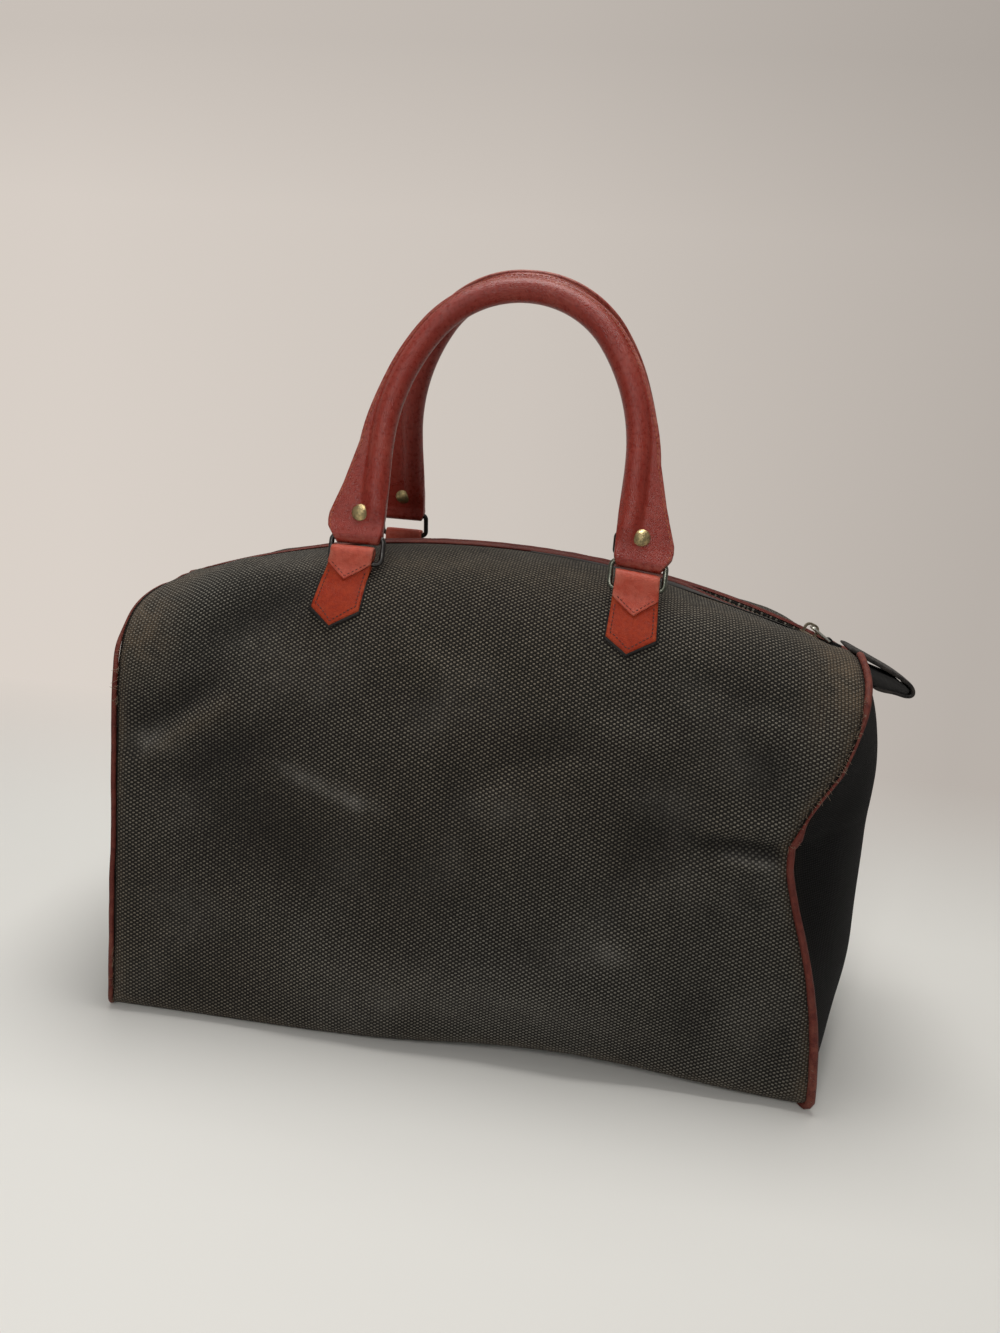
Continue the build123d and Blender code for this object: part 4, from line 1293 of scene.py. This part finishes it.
def handle_arch(half_span, rise, crown_radius, count):
    """Right half of the three-centred arch, from the springing up to the crown, as (x, z) rows."""
    centre_up = rise - crown_radius
    side_radius = (half_span**2 + centre_up**2 - crown_radius**2) / (2 * (half_span - crown_radius))
    side_x = half_span - side_radius
    join = atan2(centre_up, -side_x)
    rows = []
    for angle in np.linspace(0, join, count // 3):
        rows.append((side_x + side_radius * cos(angle), handle_spring + side_radius * sin(angle)))
    for angle in np.linspace(join, pi / 2, count - count // 3)[1:]:
        rows.append((crown_radius * cos(angle), handle_spring + centre_up + crown_radius * sin(angle)))
    return rows


def handle_stations():
    """Rows along the right half of a handle: (x, z, inner reach, outer reach, flat, bulge, bulge middle)."""
    rows = []
    for z in np.concatenate([np.linspace(end_bottom, 1, 10), np.linspace(2, handle_spring - 1, 50)]):
        x = float(np.interp(z, [end_top, 50], [chape_x, handle_half_span]))
        inner_x = float(np.interp(z, [end_bottom, -2.5, 1, end_top, 50], [
            chape_x - 12.0, chape_x - 13.2, chape_x - end_inner, chape_x - end_inner,
            handle_half_span - handle_radius]))
        outer_x = float(np.interp(z, [end_bottom, -2, 4, 8, 12, 30, handle_spring], [
            chape_x + 12.0, chape_x + 13.6, chape_x + 17.8, chape_x + end_outer, chape_x + 18.3, 92.2, 86.1]))
        grow = float(np.interp(z, [-2, 6, 16, 30], [0.0, 0.42, 0.82, 1.0]))
        bulge_x = float(np.interp(z, [1, 14, 28, 44], [71.2, 71.6, 73.0, handle_half_span]))
        if z < 0:
            flat = max(sqrt(max(0.0, end_bottom**2 - z**2)), 1.0)
        else:
            flat = float(np.interp(z, [0, 8, 30, 50], [-end_bottom, end_half_thickness, 2.0,
                                                       flange_half_thickness]))
        rows.append((x, z, x - inner_x, outer_x - x, flat, grow, bulge_x - x))
    arch = handle_arch(handle_half_span, handle_rise, handle_crown_radius, 48)
    for k, (x, z) in enumerate(arch):
        share = k / (len(arch) - 1)
        lip = flange_lip + (flange_crown_lip - flange_lip) * share + 3.2 * (1 - float(smooth_step(z, 45, 95)))
        rows.append((x, z, handle_radius, handle_radius + lip, flange_half_thickness, 1.0, 0.0))
    return rows


def handle_section(reach_in, reach_out, flat, grow, middle):
    """Half thicknesses across a handle's section as (offset, height), offset outwards from its line."""
    rows = []
    for j in range(handle_cols):
        share = -cos(pi * j / (handle_cols - 1))
        offset = (reach_out - reach_in) / 2 + share * (reach_out + reach_in) / 2
        edge = min(offset + reach_in, reach_out - offset)
        thin = flat * sqrt(max(0.0, 1 - max(0.0, 1 - edge / edge_rounding) ** 2))
        inside = 1 - ((offset - middle) / handle_radius) ** 2
        round_part = handle_radius * sqrt(max(0.0, inside)) * grow
        blend = max(thin, round_part)
        if thin > 0 and round_part > 0:
            blend += max(0.0, 1.2 - abs(thin - round_part)) ** 2 / 6
        rows.append((offset, max(blend, 0.02)))
    return rows


def handle_place(side):
    """Turn and place of a handle's own frame in the bag's."""
    lean_ring = asin(ring_tip_in / ring_height)
    low = chape_loop_z - (ring_slack if side < 0 else 0.0)
    bar_y = chape_y - ring_tip_in
    bar_z = low + ring_height * cos(lean_ring)
    lean = asin((bar_y - handle_apex_y) / (handle_spring + handle_rise))
    turn = Matrix.Identity(4) if side < 0 else Matrix.Rotation(pi, 4, "Z")
    return turn @ Matrix.Translation((0, -bar_y, bar_z)) @ Matrix.Rotation(-lean, 4, "X")


def make_handle(name, side, material):
    """Leather of one handle: a roll with a stitched flange that flattens into two folded ends."""
    stations = handle_stations()
    place = handle_place(side)
    full = [(*row, 1) for row in stations]
    full += [(-row[0], *row[1:], -1) for row in stations[-2::-1]]
    count = len(full)
    points, wear = [], []
    lines = {"front": [], "inner": []}

    def spot(x, depth, z):
        tilt = 0.0
        if side < 0 and x > 0:
            tilt = right_end_tilt * (x - chape_x) * (1 - float(smooth_step(z, 5, 60)))
        return place @ Vector((x, depth, z - tilt))

    for k, (x, z, reach_in, reach_out, flat, grow, middle, hand) in enumerate(full):
        before, after = full[max(k - 1, 0)], full[min(k + 1, count - 1)]
        run, rise = after[0] - before[0], after[1] - before[1]
        length = sqrt(run**2 + rise**2)
        normal = (rise / length, -run / length)
        section = handle_section(reach_in, reach_out, flat, grow, middle)
        if z < handle_spring:
            normal = (1.0, 0.0) if hand > 0 else (-1.0, 0.0)
        loop = [(offset, -height) for offset, height in section]
        loop += [(offset, height) for offset, height in section[-2:0:-1]]
        rough = max(0.0, noise.noise(Vector((x, z, 0)) / 20))
        for offset, depth in loop:
            wobble = 0.12 * noise.noise(Vector((x / 6, z / 6, depth)))
            points.append(spot(x + normal[0] * offset, depth * (1 + wobble * 0.2), z + normal[1] * offset))
            rim_wear = exp(-(((reach_out - offset) / 1.3) ** 2)) + 0.6 * exp(-(((z + 3.5) / 2.0) ** 2))
            wear.append(min(1.0, 0.08 + 0.8 * rim_wear + 0.25 * rough))
        seam = reach_out - handle_seam_in
        depth = np.interp(seam, [r[0] for r in section], [r[1] for r in section]) + 0.12
        for key, sign in (("front", -1), ("inner", 1)):
            if z > 3.5:
                lines[key].append(spot(x + normal[0] * seam, sign * depth, z + normal[1] * seam))
    faces = loft_faces(count, 2 * handle_cols - 2)
    item = piece(f"{name}_handle_leather", points, faces, material, f"{name}_handle",
                 None, {"wear": wear})
    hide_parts(f"{name}_handle_sleeve")
    return list(lines.values())


def make_flap(name, body, side, hand, material):
    """Pointed flap on the inner side of a handle's end."""
    place = handle_place(side)
    inner_x, outer_x = chape_x - end_inner + 0.8, chape_x + end_outer - 2.0
    outline = [
        (inner_x, flap_bottom), (outer_x, flap_bottom), (outer_x + 0.4, flap_shoulder), (chape_x, flap_tip),
        (inner_x, flap_shoulder),
    ]
    shape = bmesh.new()
    corners = [shape.verts.new(Vector((hand * x, end_half_thickness - 0.4, z)) * MM) for x, z in outline]
    face = shape.faces.new(corners)
    made = bmesh.ops.extrude_face_region(shape, geom=[face])
    top = [v for v in made["geom"] if isinstance(v, bmesh.types.BMVert)]
    bmesh.ops.translate(shape, verts=top, vec=Vector((0, flap_thickness, 0)) * MM)
    bmesh.ops.recalc_face_normals(shape, faces=shape.faces)
    bmesh.ops.bevel(shape, geom=list(shape.edges), offset=0.35 * MM, segments=2, affect="EDGES")
    mesh = bpy.data.meshes.new(name)
    shape.to_mesh(mesh)
    shape.free()
    mesh.transform(Matrix.Scale(1 / MM, 4))
    mesh.transform(Matrix.Scale(MM, 4) @ place)
    mesh.materials.append(material)
    dress(placed(name, mesh), body)


# Loose threads as seam, side, lowest and highest point, count
fray_places = [
    ("right", -1, 152, 232, 90), ("right", 1, 60, 230, 30), ("left", -1, 4, 45, 18),
    ("left", -1, 170, 225, 26), ("left", 1, 40, 220, 20), ("right", -1, 4, 40, 12),
]


def make_fray(material):
    """Loose canvas threads that stand out of the worn seams."""
    draw = random.Random(11)
    points, faces = [], []
    for name, side, low, high, count in fray_places:
        outward = 1 if name == "right" else -1
        edge = [row for row in rims[name] if row[1] * side > 0 and low < row[2] < high]
        for _ in range(count):
            spot = warp(np.array([edge[draw.randrange(len(edge))]]))
            spot[:, 2] += base_lift(spot)
            root = Vector(spot[0]) + Vector((-outward * 0.8, side * 0.4, draw.uniform(-1.4, 1.4)))
            way = Vector((
                outward * draw.uniform(0.0, 0.9), side * draw.uniform(0.3, 1.0), draw.uniform(-1, 1)))
            bend = Vector([draw.uniform(-0.5, 0.5) for _ in range(3)])
            length = draw.uniform(1.2, 3.8)
            path = [root + way.normalized() * length * t + bend * length * t * t for t in (0, 0.35, 0.7, 1)]
            tube_points, tube_faces = tube(path, 0.12, 3)
            faces += [tuple(v + len(points) for v in face) for face in tube_faces]
            points += tube_points
    piece("seam_fray", points, faces, material, "bag")


# Stage and light

def add_stage():
    """Pale floor that curves up into a far, warmer wall.

    The far part glows for the eye alone, so that the wall keeps its soft gradient. The near part takes the
    lamps and the bag's shadow."""
    n = Nodes("pale_room")
    split = n.add("ShaderNodeSeparateXYZ", Vector=n.place())
    x, y, z = split.outputs
    away = n.math("MAXIMUM", n.plus(y, -gradient_from[1]), 0.2)
    aside = n.math("DIVIDE", n.math("SUBTRACT", x, gradient_from[0]), away)
    up = n.math("DIVIDE", n.math("SUBTRACT", z, gradient_from[2]), away)
    # Painted light: the glow dims higher up and towards the right, and brightens a little towards the far
    # left
    level = n.ramp(up, -0.7, -0.4, 0.72, 0.64)
    for low, high, share in ((-0.4, 0.2, 0.94), (0.2, 0.35, 0.86)):
        level = n.times(level, n.ramp(up, low, high, 1.0, share))
    level = n.times(level, n.ramp(aside, -0.58, -0.115, 1.12, 1.0))
    level = n.times(level, n.ramp(aside, -0.115, 0.35, 1.0, 0.76))
    tint = n.mix(n.ramp(up, -0.7, -0.35), (1.0, 0.985, 0.94), (1.0, 0.91, 0.83))
    seen = n.add("ShaderNodeLightPath")
    ways = seen.outputs["Is Camera Ray"]
    for other in ("Is Glossy Ray", "Is Transmission Ray"):
        ways = n.plus(ways, seen.outputs[other], clamp=True)
    share = n.times(ways, n.ramp(y, 0.12, 0.55))
    glow = n.add("ShaderNodeEmission", Color=tint, Strength=level)
    mixer = n.add("ShaderNodeMixShader", i0=share, i1=n.shader.outputs[0], i2=glow.outputs[0])
    # The floor is painted a little darker towards the right, a painted fall of light
    n.finish(Base_Color=n.mix(n.ramp(aside, -0.6, 0.5), floor_left, floor_right), Roughness=0.9,
             Specular_IOR_Level=0.2)
    n.tree.links.new(mixer.outputs[0], n.tree.nodes["Material Output"].inputs["Surface"])
    profile = [(room_front_y, 0.0), (-3.0, 0.0), (0.0, 0.0), (curve_start, 0.0)]
    for i in range(1, 17):
        turn = pi / 2 * i / 16
        profile.append((curve_start + curve_radius * sin(turn), curve_radius * (1 - cos(turn))))
    profile.append((curve_start + curve_radius, room_height))
    points = [(x, y, z) for y, z in profile for x in (-room_half_width, -1.0, 1.0, room_half_width)]
    mesh = bpy.data.meshes.new("room")
    mesh.from_pydata(points, [], grid_faces(len(profile), 4, flip=True))
    mesh.polygons.foreach_set("use_smooth", [True] * len(mesh.polygons))
    mesh.materials.append(n.material)
    placed("room", mesh)


def add_light():
    world = bpy.data.worlds.new("soft_room")
    world.use_nodes = True
    shade = world.node_tree.nodes["Background"]
    shade.inputs["Color"].default_value = room_colour
    shade.inputs["Strength"].default_value = room_light
    bpy.context.scene.world = world
    for name, place, aim, size, power in lamps:
        data = bpy.data.lights.new(name, "AREA")
        data.shape = "SQUARE"
        data.size = size
        data.energy = power
        data.color = lamp_colour
        lamp = placed(name, data)
        lamp.location = place
        lamp.rotation_euler = (Vector(aim) - Vector(place)).to_track_quat("-Z", "Y").to_euler()


def paint(node, material):
    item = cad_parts[node]
    item.data.materials.clear()
    item.data.materials.append(material)
    item.data.polygons.foreach_set("use_smooth", [True] * len(item.data.polygons))


add_camera()
add_stage()
add_light()
bpy.context.scene.view_settings.view_transform = "Standard"

canvas = canvas_material()
end_cloth = end_cloth_material()
facing_cloth = facing_material()
red_leather = leather_material(
    "worn_red_leather", (0.022, 0.004, 0.003), (0.078, 0.010, 0.007), (0.120, 0.020, 0.013),
    0.52, 1300.0, 0.00030, (0.185, 0.060, 0.042), specular=0.2)
pad_leather = leather_material(
    "orange_pad_leather", (0.110, 0.007, 0.002), (0.255, 0.018, 0.003), (0.310, 0.028, 0.005),
    0.45, 1100.0, 0.00022, (0.360, 0.075, 0.030), specular=0.15)
# The strap's leather is painted lighter and pinker than the pad's: a painted sheen where it curves up towards
# the ring
strap_painted_sheen_leather = leather_material(
    "orange_red_painted_sheen_leather", (0.190, 0.022, 0.009), (0.430, 0.060, 0.032), (0.510, 0.090, 0.055),
    0.40, 1100.0, 0.00022, (0.450, 0.160, 0.110), specular=0.25)
handle_leather = leather_material(
    "glossy_red_leather", (0.080, 0.007, 0.004), (0.205, 0.015, 0.008), (0.255, 0.024, 0.013),
    0.30, 1500.0, 0.00020, (0.330, 0.110, 0.080), sparkle=0.35, specular=0.32)
black_leather = leather_material(
    "black_leather", (0.0016, 0.0016, 0.0016), (0.005, 0.0045, 0.0045), (0.009, 0.008, 0.0075),
    0.48, 1200.0, 0.00022, (0.045, 0.036, 0.030), specular=0.25)
dark_metal = metal_material("dark_steel", (0.075, 0.072, 0.070), (0.020, 0.018, 0.016), 0.34, 0.5)
bright_metal = metal_material("bright_steel", (0.62, 0.62, 0.58), (0.30, 0.32, 0.22), 0.24, 0.7)
green_metal = metal_material("greenish_steel", (0.17, 0.175, 0.145), (0.045, 0.050, 0.035), 0.30, 0.6)
zip_metal = metal_material("aged_zip_metal", (0.34, 0.29, 0.21), (0.08, 0.065, 0.05), 0.38, 0.6)
aged_brass = metal_material("antique_brass", (0.52, 0.40, 0.20), (0.16, 0.14, 0.08), 0.34, 0.75, scale=420.0)
tape_cloth = ribbed_material(
    "zip_tape_cloth", (0.010, 0.009, 0.009), (0.030, 0.028, 0.026), 420.0, 0.6, 0.85, 0.0002, 0.6)
cord_core = ribbed_material(
    "cotton_cord", (0.42, 0.37, 0.28), (0.62, 0.56, 0.45), 160.0, 1.0, 0.9, 0.0005, 0.8)
loose_thread = thread_material("loose_canvas_thread", (0.230, 0.165, 0.110))
light_thread = thread_material("light_thread", (0.420, 0.095, 0.035))
dark_thread = thread_material("dark_thread", (0.055, 0.020, 0.012))
orange_thread = thread_material("orange_thread", (0.070, 0.008, 0.004))

make_wrap(canvas)
make_end_panel("left", left_end_x, -1, end_cloth)
make_end_panel("right", right_end_x, 1, end_cloth)
make_piping("left", left_end_x, -1, red_leather)
make_piping("right", right_end_x, 1, red_leather)

stitch_inputs = ("Pitch", "Stitch Length", "Thread Width", "Thread Height")
tooth_inputs = ("Pitch", "Tooth Length", "Tooth Width", "Tooth Height")
stitches = row_tree("light_stitches", stitch_inputs, light_thread, "ball")
dark_stitches = row_tree("dark_stitches", stitch_inputs, dark_thread, "ball")
orange_stitches = row_tree("orange_stitches", stitch_inputs, orange_thread, "ball")
teeth = row_tree("zip_teeth_row", tooth_inputs, zip_metal, "cube")

for name, side in (("front", -1), ("back", 1)):
    line = make_binding(name, side, red_leather)
    repeated(f"{name}_zip_edge_stitches", [line], dark_stitches, edge_stitch_sizes, "bag")
    make_facing(name, side, facing_cloth)
    row = [on_crown(x, side * teeth_out, teeth_level) for x in np.arange(teeth_left_x, teeth_right_x, 4.0)]
    rack = repeated(f"{name}_teeth", [row], teeth, tooth_sizes, "bag")
    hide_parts(f"{name}_zip_teeth")
    for hand, x in (("left", -chape_x), ("right", chape_x)):
        lean, tilt, vee_z = chape_lays.get((name, hand), plain_lay)
        lines = make_chape(f"{name}_{hand}_strap", x, side, lean, tilt, vee_z, pad_leather, strap_painted_sheen_leather,
                           black_leather)
        repeated(f"{name}_{hand}_strap_stitches", lines, orange_stitches, chape_stitch_sizes,
                 "bag")
    lines = make_handle(name, side, handle_leather)
    repeated(f"{name}_handle_stitches", lines, stitches, handle_stitch_sizes,
             f"{name}_handle")
    # The back handle is the front one turned about, so its left is the other hand
    for hand in (-1, 1):
        label = "left" if hand * -side < 0 else "right"
        make_flap(f"{name}_{label}_flap", f"{name}_handle", side, hand, handle_leather)
        paint(f"{name}_{label}_rivet", aged_brass)
    paint(f"{name}_handle_core", cord_core)
    paint(f"{name}_zip_tape", tape_cloth)
make_tab(black_leather, tape_cloth)
make_fray(loose_thread)
for node, material in (
    ("zip_bottom_stop", zip_metal), ("zip_top_stops", zip_metal), ("zip_slider", zip_metal),
    ("zip_pull_ring", bright_metal), ("zip_pull_strap", black_leather), ("front_left_ring", dark_metal),
    ("back_left_ring", dark_metal), ("back_right_ring", dark_metal), ("front_right_ring", green_metal),
):
    paint(node, material)
